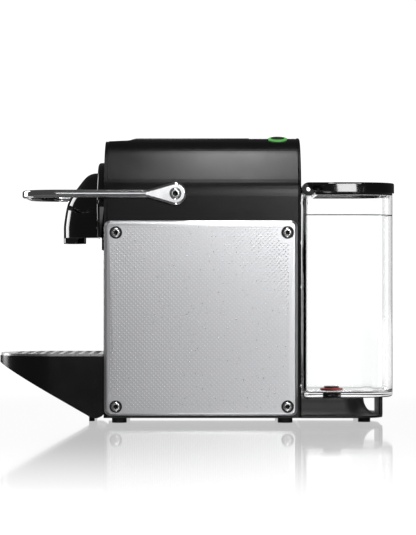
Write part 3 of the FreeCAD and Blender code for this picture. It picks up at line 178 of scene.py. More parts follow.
# %% Floor and backdrop
def flat_sheet(name, corners, material):
    """A plain four-cornered sheet for the stage."""
    mesh = bpy.data.meshes.new(name)
    mesh.from_pydata(corners, [], [(0, 1, 2, 3)])
    mesh.materials.append(material)
    sheet = bpy.data.objects.new(name, mesh)
    bpy.context.scene.collection.objects.link(sheet)


MIRROR_FULL = 0.22
MIRROR_GONE = 0.82
MIRROR_SHARE = 0.52
FLOOR_SHOWS = 1.06
FLOOR_GIVES = 0.12
BACKDROP_SHOWS = 1.1


def seen_straight(tree):
    """1 for what the eye sees directly or through clear plastic, 0 for what a surface mirrors."""
    ray = tree.nodes.new("ShaderNodeLightPath")
    direct = tree.nodes.new("ShaderNodeMath")
    direct.operation = "MAXIMUM"
    tree.links.new(ray.outputs["Is Camera Ray"], direct.inputs[0])
    tree.links.new(ray.outputs["Is Transmission Ray"], direct.inputs[1])
    return direct.outputs["Value"]


def floor_material():
    """Glowing white under a soft mirror whose share falls off with distance from the machine."""
    material = bpy.data.materials.new("white_lacquer_floor")
    material.use_nodes = True
    tree = material.node_tree
    tree.nodes.clear()
    output = tree.nodes.new("ShaderNodeOutputMaterial")
    white = tree.nodes.new("ShaderNodeEmission")
    white.inputs["Color"].default_value = (1.0, 1.0, 1.0, 1.0)
    glow = tree.nodes.new("ShaderNodeMapRange")
    glow.inputs["To Min"].default_value = FLOOR_GIVES
    glow.inputs["To Max"].default_value = FLOOR_SHOWS
    tree.links.new(seen_straight(tree), glow.inputs["Value"])
    tree.links.new(glow.outputs["Result"], white.inputs["Strength"])
    gloss = tree.nodes.new("ShaderNodeBsdfGlossy")
    gloss.inputs["Roughness"].default_value = 0.05
    place = tree.nodes.new("ShaderNodeTexCoord")
    distance = tree.nodes.new("ShaderNodeVectorMath")
    distance.operation = "LENGTH"
    share = tree.nodes.new("ShaderNodeMapRange")
    share.interpolation_type = "SMOOTHSTEP"
    share.inputs["From Min"].default_value = MIRROR_FULL
    share.inputs["From Max"].default_value = MIRROR_GONE
    share.inputs["To Min"].default_value = MIRROR_SHARE
    share.inputs["To Max"].default_value = 0.0
    tree.links.new(place.outputs["Object"], distance.inputs[0])
    tree.links.new(distance.outputs["Value"], share.inputs["Value"])
    mix = tree.nodes.new("ShaderNodeMixShader")
    tree.links.new(share.outputs["Result"], mix.inputs["Fac"])
    tree.links.new(white.outputs["Emission"], mix.inputs[1])
    tree.links.new(gloss.outputs["BSDF"], mix.inputs[2])
    tree.links.new(mix.outputs["Shader"], output.inputs["Surface"])
    return material


def backdrop_material():
    """Plain white that glows a little more than the room, so that it reads as pure white."""
    material = bpy.data.materials.new("white_backdrop")
    material.use_nodes = True
    tree = material.node_tree
    tree.nodes.clear()
    output = tree.nodes.new("ShaderNodeOutputMaterial")
    white = tree.nodes.new("ShaderNodeEmission")
    white.inputs["Strength"].default_value = BACKDROP_SHOWS
    tree.links.new(white.outputs["Emission"], output.inputs["Surface"])
    return material


FLOOR_REACH = 3.0
flat_sheet("floor", [(-FLOOR_REACH, -FLOOR_REACH, 0), (FLOOR_REACH, -FLOOR_REACH, 0),
                     (FLOOR_REACH, FLOOR_REACH, 0), (-FLOOR_REACH, FLOOR_REACH, 0)],
           floor_material())
BACKDROP_X = -2.9
BACKDROP_HALF = 0.65
BACKDROP_TOP = 1.0
flat_sheet("backdrop", [(BACKDROP_X, -BACKDROP_HALF, 0), (BACKDROP_X, BACKDROP_HALF, 0),
                        (BACKDROP_X, BACKDROP_HALF, BACKDROP_TOP),
                        (BACKDROP_X, -BACKDROP_HALF, BACKDROP_TOP)], backdrop_material())


# %% [markdown]
# The room round the machine is dim, because black plastic and chrome show the room in their
# surfaces. Straight on, and through the clear tank, the same room has to look white. So the
# world has two strengths, and the kind of ray picks one. The floor above does the same.

# %% The room
ROOM_GIVES = 0.06
ROOM_SHOWS = 1.0
world = bpy.data.worlds.new("studio")
world.use_nodes = True
room = world.node_tree
dim = room.nodes["Background"]
dim.inputs["Color"].default_value = (1.0, 1.0, 1.0, 1.0)
dim.inputs["Strength"].default_value = ROOM_GIVES
bright = room.nodes.new("ShaderNodeBackground")
bright.inputs["Strength"].default_value = ROOM_SHOWS
either = room.nodes.new("ShaderNodeMixShader")
room.links.new(seen_straight(room), either.inputs["Fac"])
room.links.new(dim.outputs["Background"], either.inputs[1])
room.links.new(bright.outputs["Background"], either.inputs[2])
room.links.new(either.outputs["Shader"], room.nodes["World Output"].inputs["Surface"])
bpy.context.scene.world = world
bpy.context.scene.view_settings.view_transform = "Standard"
print("room gives", ROOM_GIVES, "and shows", ROOM_SHOWS)


# %% [markdown]
# Four soft boxes light it. A long narrow one above draws the band along the round top, one
# beside the eye fills the metal panel, a tall one in front edges the brew head, and a faint
# card beside the eye gives the chrome lever something white to mirror.

# %% Lights
def soft_box(name, place, aim, size, power):
    """A square of light at place that faces aim."""
    data = bpy.data.lights.new(name, "AREA")
    data.shape = "RECTANGLE"
    data.size, data.size_y = size
    data.energy = power
    light = bpy.data.objects.new(name, data)
    light.location = place
    way = np.array(aim) - np.array(place)
    light.rotation_euler = Vector(way).to_track_quat("-Z", "Y").to_euler()
    bpy.context.scene.collection.objects.link(light)


soft_box("top_box", (0.5, 0.05, 1.22), (0.0, 0.05, 0.2), (0.14, 1.5), 8.0)
soft_box("key_box", (2.0, 0.3, 0.55), (0.05, 0.03, 0.12), (0.3, 0.5), 5.8)
soft_box("front_strip", (-0.75, -1.25, 0.45), (0.0, -0.1, 0.15), (0.5, 1.1), 9.0)
soft_box("lens_card", (2.05, -0.16, 0.285), (0.05, -0.06, 0.186), (0.42, 0.09), 0.17)


# %% [markdown]
# ## Plastics
# The casing is moulded in black plastic. Its tool was spark-eroded, which leaves a fine grain
# that spreads the light, while the head and the lid came from a polished tool and mirror it.
# Noise on Object coordinates gives the grain its real size whatever the piece. A slow noise
# under it varies the gloss a little, as wiping and handling do.

# %% Black plastics
satin_black = new_material("satin_black_shell", (0.003, 0.003, 0.0032), rough=0.22, Specular_IOR_Level=0.3)
vary(satin_black, "Roughness", 0.2, 0.235, 45.0)
add_bump(satin_black, 2600.0, 0.000012, strength=0.6)

gloss_black = new_material("gloss_black_head", (0.0045, 0.0045, 0.005), rough=0.07, Coat_Weight=0.6,
                           Coat_Roughness=0.03)
vary(gloss_black, "Roughness", 0.05, 0.11, 60.0)
add_bump(gloss_black, 160.0, 0.000006, detail=1.0, strength=0.5)

tray_black = new_material("tray_black_plastic", (0.003, 0.003, 0.0032), rough=0.2)
vary(tray_black, "Roughness", 0.18, 0.24, 70.0)
add_bump(tray_black, 2200.0, 0.00001, strength=0.6)

base_black = new_material("base_black_plastic", (0.012, 0.012, 0.0125), rough=0.42)
vary(base_black, "Roughness", 0.38, 0.48, 60.0)
add_bump(base_black, 2600.0, 0.000016, strength=0.8)

inner_plastic = new_material("inner_grey_plastic", (0.055, 0.057, 0.06), rough=0.5)
tint(inner_plastic, (0.05, 0.052, 0.055), (0.065, 0.067, 0.07), 30.0)
add_bump(inner_plastic, 1800.0, 0.00002)


# %% [markdown]
# ## Metals
# The side panels are pressed aluminium with an anodised skin. The lever is zinc with a chrome
# plate, so it is nearly a mirror. The grid and bolts are stainless steel. A real metal is
# never even: the rolling direction shows as long faint streaks, made here by noise whose
# Object coordinates are squeezed along the streak.

# %% Metals
panel_aluminium = new_material("anodised_panel", (0.8, 0.8, 0.82), metal=1.0, rough=0.31)
tint(panel_aluminium, (0.77, 0.775, 0.8), (0.82, 0.824, 0.842), 2600.0, stretch=(1.0, 0.2, 1.0))
vary(panel_aluminium, "Roughness", 0.3, 0.325, 2600.0, stretch=(1.0, 0.2, 1.0))

# Painted highlight: the dots' base colour is brighter than the panel's, for the light their round tops catch.
dot_aluminium_painted_highlight = new_material("polished_dot_tops", (0.86, 0.865, 0.88), metal=1.0, rough=0.3)
vary(dot_aluminium_painted_highlight, "Roughness", 0.26, 0.36, 800.0)

chrome = new_material("lever_chrome_plate", (0.86, 0.865, 0.88), metal=1.0, rough=0.1)
vary(chrome, "Roughness", 0.085, 0.12, 90.0)

bolt_steel = new_material("bolt_steel_turned", (0.75, 0.75, 0.76), metal=1.0, rough=0.24)
vary(bolt_steel, "Roughness", 0.2, 0.28, 700.0)
tint(bolt_steel, (0.68, 0.68, 0.69), (0.8, 0.8, 0.81), 500.0)
# Painted shade: the steel's colour darkens down into each socket, by the depth stored on its points.
paint_shade_by(bolt_steel, "socket_depth", (0.012, 0.012, 0.012))

grid_steel = new_material("grid_steel_brushed", (0.6, 0.6, 0.61), metal=1.0, rough=0.3)
vary(grid_steel, "Roughness", 0.25, 0.38, 900.0, stretch=(0.05, 1.0, 1.0))
tint(grid_steel, (0.55, 0.55, 0.56), (0.66, 0.66, 0.67), 700.0, stretch=(0.05, 1.0, 1.0))

hub_steel = new_material("hub_steel_ground", (0.42, 0.42, 0.43), metal=1.0, rough=0.33)
vary(hub_steel, "Roughness", 0.28, 0.42, 600.0, stretch=(1.0, 1.0, 0.1))

bush_bronze = new_material("bush_sintered_bronze", (0.42, 0.27, 0.13), metal=1.0, rough=0.48)
tint(bush_bronze, (0.34, 0.22, 0.11), (0.46, 0.3, 0.15), 1400.0)

heater_aluminium = new_material("heater_cast_aluminium", (0.5, 0.5, 0.51), metal=1.0, rough=0.55)
tint(heater_aluminium, (0.42, 0.42, 0.43), (0.56, 0.56, 0.57), 400.0)
add_bump(heater_aluminium, 900.0, 0.00006)


# %% [markdown]
# ## Clear tank, rubbers and lights
# The tank is clear plastic. Transmission bends the light at its rims, which draws the thin
# grey outline that a clear box has. The plastic's own index is 1.49; 1.3 is used, because it
# keeps that outline thin. The seals are silicone, and the rings round the buttons glow.
# The valve is one turned part in two colours: its height parts the red seal from the stem.

# %% Clear, soft and lit materials
clear_tank = new_material("clear_tank_plastic", (0.985, 0.99, 0.99), rough=0.015,
                          Transmission_Weight=1.0, IOR=1.3)
vary(clear_tank, "Roughness", 0.008, 0.03, 25.0)

valve_red = new_material("valve_red_silicone", (0.42, 0.018, 0.012), rough=0.42)
tint(valve_red, (0.36, 0.014, 0.01), (0.5, 0.026, 0.018), 150.0)
add_bump(valve_red, 900.0, 0.00003)
valve_tree = valve_red.node_tree
valve_place = valve_tree.nodes.new("ShaderNodeTexCoord")
valve_height = valve_tree.nodes.new("ShaderNodeSeparateXYZ")
seal_zone = valve_tree.nodes.new("ShaderNodeMath")
seal_zone.operation = "GREATER_THAN"
SEAL_HEIGHT = 2.4 * MM
seal_zone.inputs[1].default_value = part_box("tank_valve")[1][2] - SEAL_HEIGHT
stem_or_seal = valve_tree.nodes.new("ShaderNodeMix")
stem_or_seal.data_type = "RGBA"
stem_or_seal.inputs["A"].default_value = (0.008, 0.008, 0.008, 1.0)
red_link = valve_tree.nodes["Principled BSDF"].inputs["Base Color"].links[0]
valve_tree.links.new(red_link.from_socket, stem_or_seal.inputs["B"])
valve_tree.links.new(valve_place.outputs["Object"], valve_height.inputs["Vector"])
valve_tree.links.new(valve_height.outputs["Z"], seal_zone.inputs[0])
valve_tree.links.new(seal_zone.outputs["Value"], stem_or_seal.inputs["Factor"])
valve_tree.links.new(stem_or_seal.outputs["Result"],
                     valve_tree.nodes["Principled BSDF"].inputs["Base Color"])

valve_black = new_material("valve_black_plastic", (0.01, 0.01, 0.01), rough=0.36)
vary(valve_black, "Roughness", 0.3, 0.44, 200.0)
add_bump(valve_black, 1500.0, 0.00002)

foot_rubber = new_material("foot_black_rubber", (0.014, 0.014, 0.014), rough=0.75)
vary(foot_rubber, "Roughness", 0.65, 0.85, 120.0)
add_bump(foot_rubber, 1500.0, 0.00008)

light_green = new_material("lit_green_ring", (0.12, 0.4, 0.12), rough=0.3,
                           Emission_Color=(0.1, 0.42, 0.08, 1.0), Emission_Strength=0.7)
vary(light_green, "Roughness", 0.22, 0.4, 300.0)

hose_silicone = new_material("hose_clear_silicone", (0.72, 0.74, 0.72), rough=0.4,
                             Transmission_Weight=0.35, IOR=1.41)
tint(hose_silicone, (0.68, 0.7, 0.68), (0.78, 0.8, 0.78), 90.0)

board_green = new_material("board_green_lacquer", (0.012, 0.12, 0.045), rough=0.28)
tint(board_green, (0.008, 0.09, 0.03), (0.02, 0.16, 0.06), 500.0, stretch=(1.0, 0.2, 1.0))

pump_black = new_material("pump_black_nylon", (0.02, 0.02, 0.022), rough=0.55)
tint(pump_black, (0.015, 0.015, 0.017), (0.03, 0.03, 0.033), 80.0)
add_bump(pump_black, 1200.0, 0.00005)


# %% Give each CAD node the finish of its slot
finish_of_slot = {
    "satin_black": satin_black, "gloss_black": gloss_black, "tray_black": tray_black,
    "panel_aluminium": panel_aluminium, "bolt_steel": bolt_steel, "lever_chrome": chrome,
    "grid_steel": grid_steel, "hub_steel": hub_steel, "bush_bronze": bush_bronze,
    "clear_tank": clear_tank, "valve_red": valve_red, "valve_black": valve_black,
    "foot_rubber": foot_rubber, "light_green": light_green, "inner_plastic": inner_plastic,
    "heater_aluminium": heater_aluminium, "pump_black": pump_black,
    "hose_silicone": hose_silicone, "board_green": board_green,
}
own_finish = {"tank_base": base_black, "base_frame": base_black, "cord_guard": base_black}
for part in frame["record"]["subparts"]:
    mesh = nodes[part["node"]].data
    mesh.materials.clear()
    mesh.materials.append(own_finish.get(part["node"], finish_of_slot[part["material_slot"]]))


# %% [markdown]
# ## Surfaces from numbers
# Every new piece is a grid of points: one parameter runs along it and one round it. The grid
# is worked out as whole arrays, and its quads come from the row and column numbers alone.
# Two lines of the grid that fall together, at a seam or a pole, are merged at the end.

# %% Helpers for new pieces
def quads_of_grid(rows, columns, ring=True, loop=False):
    """Quads of a grid numbered row by row; ring closes each row, loop joins the last row to the first."""
    row = np.arange(rows if loop else rows - 1)[:, None]
    column = np.arange(columns if ring else columns - 1)[None, :]
    next_row, next_column = (row + 1) % rows, (column + 1) % columns
    corners = [row * columns + column, row * columns + next_column,
               next_row * columns + next_column, next_row * columns + column]
    return np.stack(corners, axis=-1).reshape(-1, 4)


def new_piece(name, shells, material, body, sharp=35.0, merge=True):
    """One mesh from several (points, faces) shells, in metres, riding on a body."""
    points = np.concatenate([np.asarray(p, float).reshape(-1, 3) for p, _ in shells])
    starts = np.cumsum([0] + [np.asarray(p).size // 3 for p, _ in shells[:-1]])
    groups = [np.asarray(f) + first for (_, faces), first in zip(shells, starts)
              for f in (faces if isinstance(faces, list) else [faces])]
    counts = np.concatenate([np.full(len(g), g.shape[1]) for g in groups])
    mesh = bpy.data.meshes.new(name)
    mesh.vertices.add(len(points))
    mesh.vertices.foreach_set("co", points.ravel())
    mesh.loops.add(int(counts.sum()))
    corners = np.concatenate([g.ravel() for g in groups])
    mesh.loops.foreach_set("vertex_index", corners.astype(np.int32))
    mesh.polygons.add(len(counts))
    mesh.polygons.foreach_set("loop_start", (np.cumsum(counts) - counts).astype(np.int32))
    mesh.update(calc_edges=True)
    if merge:
        work = bmesh.new()
        work.from_mesh(mesh)
        bmesh.ops.remove_doubles(work, verts=work.verts, dist=1e-6)
        bmesh.ops.dissolve_degenerate(work, edges=work.edges, dist=1e-7)
        bmesh.ops.recalc_face_normals(work, faces=work.faces)
        work.to_mesh(mesh)
        work.free()
    mesh.polygons.foreach_set("use_smooth", np.ones(len(mesh.polygons), bool))
    mesh.set_sharp_from_angle(angle=math.radians(sharp))
    mesh.materials.append(material)
    piece = bpy.data.objects.new(name, mesh)
    bpy.context.scene.collection.objects.link(piece)
    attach(piece, body)
    print(name, len(mesh.polygons), "faces")
    return piece


def other_side(shells):
    """The same shells mirrored to -X, with each face turned round so that it still points out."""
    return [(np.asarray(points, float).reshape(-1, 3) * (-1.0, 1.0, 1.0),
             [f[:, ::-1] for f in (faces if isinstance(faces, list) else [faces])])
            for points, faces in shells]


# %% [markdown]
# ## Smooth casings
# The CAD solids arrive as loose flat triangles, so a long round casing would show them as
# bands. A copy of each such solid is merged at its shared points and shaded smooth, with
# every edge sharper than a set angle kept crisp. The form stays exactly that of the CAD.

# %% Smoothed copies of the round casings
def smoothed_copy(node_name, piece_name, body, angle=26.0):
    """The node's triangles merged at shared points, smooth below the angle and crisp above it."""
    source = nodes[node_name].data
    mesh = source.copy()
    mesh.name = piece_name
    work = bmesh.new()
    work.from_mesh(mesh)
    bmesh.ops.remove_doubles(work, verts=work.verts, dist=2e-6)
    bmesh.ops.dissolve_degenerate(work, edges=work.edges, dist=1e-7)
    work.to_mesh(mesh)
    work.free()
    mesh.polygons.foreach_set("use_smooth", np.ones(len(mesh.polygons), bool))
    mesh.set_sharp_from_angle(angle=math.radians(angle))
    piece = bpy.data.objects.new(piece_name, mesh)
    bpy.context.scene.collection.objects.link(piece)
    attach(piece, body)
    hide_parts(node_name)
    print(piece_name, len(mesh.polygons), "faces")
    return piece


ROUND_CASINGS = ("upper_housing", "rear_cover", "control_cover", "head_plate", "front_frame",
                 "drip_tray", "drip_base", "water_tank", "tank_lid", "espresso_button",
                 "lungo_button", "cord_guard", "button_light_rings", "tank_valve",
                 "capsule_container", "base_frame", "rubber_feet", "drip_grid", "tray_feet",
                 "cord_gland")
bodies = frame["record"]["behaviour"]["bodies"]
body_of_node = {node: body for body, members in bodies.items() for node in members}
for part in frame["record"]["subparts"]:
    node = part["node"]
    if node in ROUND_CASINGS:
        smoothed_copy(node, node + "_smooth", body_of_node[node])


# %% [markdown]
# ## Side panels
# Each panel is one pressed sheet with round corners, a slanting rim that catches the light,
# four sunk seats for its bolts, and a field of small raised dots. The rim is a profile
# carried round a rounded rectangle. The face between the rim and the seats is one flat
# surface with four holes. The dots are real low domes, because their little highlights
# change as the eye moves, and bump alone has none at a grazing view. Each has 24 triangles.

# %% Panel outline and rim
panel_low, panel_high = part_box("side_panel_right")
PANEL_CORNER = 5.0 * MM
PANEL_RIM = 2.1 * MM
DOT_HEIGHT = 0.2 * MM
face_x = panel_high[0] - DOT_HEIGHT
corner_turn = np.linspace(0.0, math.pi / 2, 9)


def panel_outline(inset):
    """A rounded rectangle as an angle list: corner centres plus the corner radius times cosine and sine."""
    angle = np.tile(corner_turn, 4) + np.repeat(np.arange(4) * math.pi / 2, 9)
    y_side = np.repeat([1, 0, 0, 1], 9)
    z_side = np.repeat([1, 1, 0, 0], 9)
    y = np.where(y_side, panel_high[1] - PANEL_CORNER, panel_low[1] + PANEL_CORNER)
    z = np.where(z_side, panel_high[2] - PANEL_CORNER, panel_low[2] + PANEL_CORNER)
    radius = PANEL_CORNER - inset
    return np.stack([y + radius * np.cos(angle), z + radius * np.sin(angle)], axis=-1)


rim_profile = [(1.0 * MM, panel_low[0]), (0.2 * MM, panel_low[0]), (0.0, panel_low[0] + 0.2 * MM),
               (0.0, face_x - PANEL_RIM - 0.15 * MM), (0.06 * MM, face_x - PANEL_RIM),
               (PANEL_RIM - 0.25 * MM, face_x - 0.19 * MM), (PANEL_RIM - 0.06 * MM, face_x - 0.03 * MM),
               (PANEL_RIM + 0.15 * MM, face_x)]
rim_rows = [np.insert(panel_outline(inset), 0, x, axis=1) for inset, x in rim_profile]
rim = (np.array(rim_rows), [quads_of_grid(len(rim_rows), 36), np.arange(36)[None, ::-1]])


# %% Bolt seats and the flat face
bolt_low, bolt_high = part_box("panel_bolts_right")
BOLT_RADIUS = 4.0 * MM
SEAT_RADIUS = 5.1 * MM
SEAT_DEPTH = 1.1 * MM
SHANK_HOLE = 2.1 * MM
HOLE_DEPTH = 1.2 * MM
bolt_spots = np.array([(y, z) for y in (bolt_low[1] + BOLT_RADIUS, bolt_high[1] - BOLT_RADIUS)
                       for z in (bolt_low[2] + BOLT_RADIUS, bolt_high[2] - BOLT_RADIUS)])
ROUND = 40
round_angle = np.arange(ROUND) * 2 * math.pi / ROUND


def turned_about(spot, profile):
    """A profile of (radius, x) turned about an X axis: y, z = spot + radius (cos, sin)."""
    radius, x = np.array(profile, float).T
    reach = radius[:, None] * np.ones(ROUND)
    return np.stack([x[:, None] + 0 * reach, spot[0] + reach * np.cos(round_angle),
                     spot[1] + reach * np.sin(round_angle)], axis=-1)


seat_floor = panel_high[0] - SEAT_DEPTH
seat_profile = [(SEAT_RADIUS + 0.2 * MM, face_x), (SEAT_RADIUS, face_x - 0.2 * MM),
                (SEAT_RADIUS, seat_floor), (SHANK_HOLE, seat_floor),
                (SHANK_HOLE, seat_floor - HOLE_DEPTH), (0.0, seat_floor - HOLE_DEPTH)]
seats = [(turned_about(spot, seat_profile), quads_of_grid(len(seat_profile), ROUND)) for spot in bolt_spots]
thickness = float(panel_high[0] - panel_low[0]) / MM
print("panel thickness", round(thickness, 2), "mm, shank hole", round(HOLE_DEPTH / MM, 2), "mm")
face_edge = rim_rows[-1]
seat_edges = [points[0] for points, _ in seats]
loops = [[Vector(point) for point in edge] for edge in [face_edge] + seat_edges]
face_triangles = np.array(mathutils.geometry.tessellate_polygon(loops))
face = (np.concatenate([face_edge] + seat_edges), face_triangles)
print("face triangles", len(face_triangles))

# %% Panels, both sides
for side, name in (("right", "side_panel_right"), ("left", "side_panel_left")):
    shells = [rim, face] + seats
    shells = shells if side == "right" else other_side(shells)
    panel = new_piece("pressed_panel_" + side, shells, panel_aluminium, "root",
                      sharp=20.0)
    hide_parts(name)

# %% Dots
DOT_PITCH = 3.64 * MM
DOT_RADIUS = 0.7 * MM
DOT_MARGIN = 5.2 * MM
DOT_SIDES = 8
rows = np.arange(panel_low[2] + DOT_MARGIN, panel_high[2] - DOT_MARGIN, DOT_PITCH / 2)
columns = np.arange(panel_low[1] + DOT_MARGIN, panel_high[1] - DOT_MARGIN - DOT_PITCH / 2, DOT_PITCH)
shift = (np.arange(len(rows)) % 2)[:, None] * DOT_PITCH / 2
centres = np.stack([columns[None, :] + shift, rows[:, None] + 0 * columns], axis=-1).reshape(-1, 2)
far_from_bolts = np.linalg.norm(centres[:, None] - bolt_spots[None], axis=-1).min(axis=1) > 8.0 * MM
centres = centres[far_from_bolts]


def dot_field(centres):
    """Low domes: rings at 1 and 0.66 of the radius and a tip, at 0, 0.68 and 1 of the height."""
    turn = np.arange(DOT_SIDES) * 2 * math.pi / DOT_SIDES
    ring = np.stack([0 * turn, np.cos(turn), np.sin(turn)], axis=-1) * DOT_RADIUS
    dot = np.concatenate([ring - (0.02 * MM, 0, 0), ring * 0.66 + (0.68 * DOT_HEIGHT, 0, 0),
                          [(DOT_HEIGHT, 0, 0)]])
    place = np.insert(centres, 0, face_x, axis=1)
    points = place[:, None, :] + dot[None]
    first = np.arange(len(centres))[:, None, None] * len(dot)
    wall = (quads_of_grid(2, DOT_SIDES)[None] + first).reshape(-1, 4)
    side = np.arange(DOT_SIDES)
    cap = np.stack([side + DOT_SIDES, (side + 1) % DOT_SIDES + DOT_SIDES,
                    0 * side + 2 * DOT_SIDES], axis=-1)
    return points, [wall, (cap[None] + first).reshape(-1, 3)]


dots = [dot_field(centres)]
for side, shells in (("right", dots), ("left", other_side(dots))):
    new_piece("panel_dots_" + side, shells, dot_aluminium_painted_highlight, "root", sharp=80.0,
              merge=False)
print("dots per side", len(centres))


# %% [markdown]
# ## Bolts
# A button-head bolt is turned, so it is a profile spun about its axis, but its socket is
# six-sided. The radius of the socket's rows follows a hexagon: its half width divided by the
# cosine of the angle to the nearest flat. The same grid then runs from round to hexagon.
# A socket is dark because little light finds its way out again, and that shade is painted: a number stored on each
# point says how deep it lies, and the steel's colour darkens by it. A black washer rings each head; its black also
# paints the shade that falls in the seat round the head.

# %% Button-head bolts
def hexagon_reach(half_width):
    """Distance from the centre to a hexagon's side: half width over cos(angle to the nearest flat)."""
    off = (round_angle + math.pi / 6) % (math.pi / 3) - math.pi / 6
    return half_width / np.cos(off)


def bolt_shell(spot, head, shank, top, seat, root, socket):
    """Rows from the shank's tip up over the head and down into the six-sided socket."""
    dome = np.linspace(0.0, 1.0, 6)
    cap_radius = head - (head - socket * 1.35) * dome
    cap_x = top - (top - seat) * 0.55 * (1 - dome) ** 2.0
    turned_rows = turned_about(spot, [(0, root), (shank, root), (shank, seat), (head - 0.15 * MM, seat),
                                      (head, seat + 0.12 * MM)] + list(zip(cap_radius, cap_x)))
    six = hexagon_reach(socket)[None, :] * np.array([1.06, 1.0, 1.0, 0.0])[:, None]
    depth = np.array([top, top - 0.15 * MM, seat - 0.5 * MM, seat - 0.9 * MM])[:, None] + 0 * six
    six_rows = np.stack([depth, spot[0] + six * np.cos(round_angle),
                         spot[1] + six * np.sin(round_angle)], axis=-1)
    rows = np.concatenate([turned_rows, six_rows])
    return rows, quads_of_grid(len(rows), ROUND)


def mark_socket_shade(piece, spots, top, socket):
    """Store on each point how much painted shade it gets by how far down a socket it lies: 0 at the head's top, 1
    below 0.3 mm.
    """
    points = np.empty(len(piece.data.vertices) * 3)
    piece.data.vertices.foreach_get("co", points)
    points = points.reshape(-1, 3)
    off_axis = np.linalg.norm(points[:, None, 1:] - spots[None], axis=-1).min(axis=1)
    depth = np.clip((top - np.abs(points[:, 0])) / (0.3 * MM), 0.0, 1.0)
    depth = np.where(off_axis < socket * 1.2, depth, 0.0)
    piece.data.attributes.new("socket_depth", "FLOAT", "POINT").data.foreach_set("value", depth)
    print(piece.name, int((depth > 0).sum()), "socket points")


BOLT_HEAD = 3.7 * MM
BOLT_SHANK = 2.0 * MM
BOLT_SEAT = bolt_high[0] - 0.8 * MM
BOLT_SOCKET = 1.75 * MM
bolts = [bolt_shell(spot, BOLT_HEAD, BOLT_SHANK, bolt_high[0], BOLT_SEAT, bolt_low[0], BOLT_SOCKET)
         for spot in bolt_spots]
# The black washers also paint the shade that falls in the seat round each bolt head.
seat_shade_washer = new_material("washer_black_nylon", (0.006, 0.006, 0.006), rough=0.5)
vary(seat_shade_washer, "Roughness", 0.4, 0.6, 500.0)
WASHER_RADIUS = 5.04 * MM
washer_low, washer_top = seat_floor - 0.02 * MM, seat_floor + 0.3 * MM
washer_profile = [(BOLT_SHANK, washer_low), (WASHER_RADIUS, washer_low),
                  (WASHER_RADIUS, seat_floor + 0.2 * MM), (4.9 * MM, washer_top),
                  (BOLT_SHANK, washer_top)]
washers = [(turned_about(spot, washer_profile), quads_of_grid(5, ROUND, loop=True)) for spot in bolt_spots]
for side, shells in (("right", washers), ("left", other_side(washers))):
    new_piece("bolt_washers_" + side, shells, seat_shade_washer, "root", sharp=30.0)
for side, shells in (("right", bolts), ("left", other_side(bolts))):
    piece = new_piece("panel_bolt_heads_" + side, shells, bolt_steel, "root", sharp=28.0)
    mark_socket_shade(piece, bolt_spots, bolt_high[0], BOLT_SOCKET)
    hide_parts("panel_bolts_" + side)


# %% [markdown]
# ## Lever
# The lever is one chromed loop: a thin bar that runs forward on both sides, bends across the
# front, and widens at each end into a drop-shaped eye round the pivot screw. The bar is a
# rounded box section carried along a U path. Each eye is a grid round the pivot: the angle
# gives the distance to the drop's outline, and the rows go over the bevel, across the face,
# down into the screw's counterbore, and back along the inner face.

# %% Lever bar
lever_low, lever_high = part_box("lever")
joints = {joint["name"]: joint for joint in frame["joints"]}
pivot = np.array(joints["lever_lift"]["pos_m"])
LEVER_INSIDE = 50.9 * MM
LEVER_BEND = 30.0 * MM
BAR_HALF_DEPTH = 3.25 * MM
NECK = 21.9 * MM
bar_half = (lever_high[0] - LEVER_INSIDE) / 2
bar_x = lever_high[0] - bar_half


def lever_path():
    """A U in plan, with its direction: straight forward, a quarter turn, and the mirror of both."""
    radius = LEVER_BEND - bar_half
    turn_y = lever_low[1] + LEVER_BEND
    arm = np.linspace(pivot[1] - NECK - 1.9 * MM, turn_y, 8)[:-1]
    turn = np.linspace(0.0, math.pi / 2, 26)
    x = np.concatenate([0 * arm + bar_x, bar_x - radius + radius * np.cos(turn)])
    y = np.concatenate([arm, turn_y - radius * np.sin(turn)])
    angle = np.concatenate([0 * arm, turn])
    x, y = np.concatenate([x, -x[::-1]]), np.concatenate([y, y[::-1]])
    angle = np.concatenate([angle, math.pi - angle[::-1]])
    return np.stack([x, y], -1), np.stack([-np.sin(angle), -np.cos(angle)], -1)


def bar_section(corner, per_corner=8):
    """A rounded box: four corner arcs, as (across, up) pairs."""
    quarter = np.arange(4) * math.pi / 2
    turn = np.tile(np.linspace(0, math.pi / 2, per_corner), 4) + np.repeat(quarter, per_corner)
    across = np.repeat([1, -1, -1, 1], per_corner) * (bar_half - corner)
    up = np.repeat([1, 1, -1, -1], per_corner) * (BAR_HALF_DEPTH - corner)
    return across + corner * np.cos(turn), up + corner * np.sin(turn)


path, along = lever_path()
outward = np.stack([-along[:, 1], along[:, 0]], axis=-1)
across, up = bar_section(1.9 * MM)
bar_points = np.empty((len(path), len(across), 3))
bar_points[..., :2] = path[:, None] + outward[:, None] * across[None, :, None]
bar_points[..., 2] = pivot[2] + up
ends = np.arange(len(across))
bar = (bar_points, [quads_of_grid(len(path), len(across)), ends[None, ::-1],
                    ends[None] + (len(path) - 1) * len(across)])


# %% Lever eyes
def drop_reach(angle, radius, half_depth):
    """Distance from the pivot to the drop: its circle, its tangents to the neck, or the bar beyond."""
    away = math.hypot(NECK, half_depth)
    slope = math.asin(radius / away) - math.atan(half_depth / NECK)
    forward, rise = np.cos(angle), np.abs(np.sin(angle))
    facing = np.maximum(-math.sin(slope) * forward + math.cos(slope) * rise, 1e-6)
    ahead = np.maximum(-forward, 1e-6)
    tangent = np.minimum(radius / facing, NECK / ahead)
    bar_reach = np.minimum((NECK + 2.0 * MM) / ahead, half_depth / np.maximum(rise, 1e-6))
    return np.where(forward > -math.sin(slope), radius, np.maximum(tangent, bar_reach))


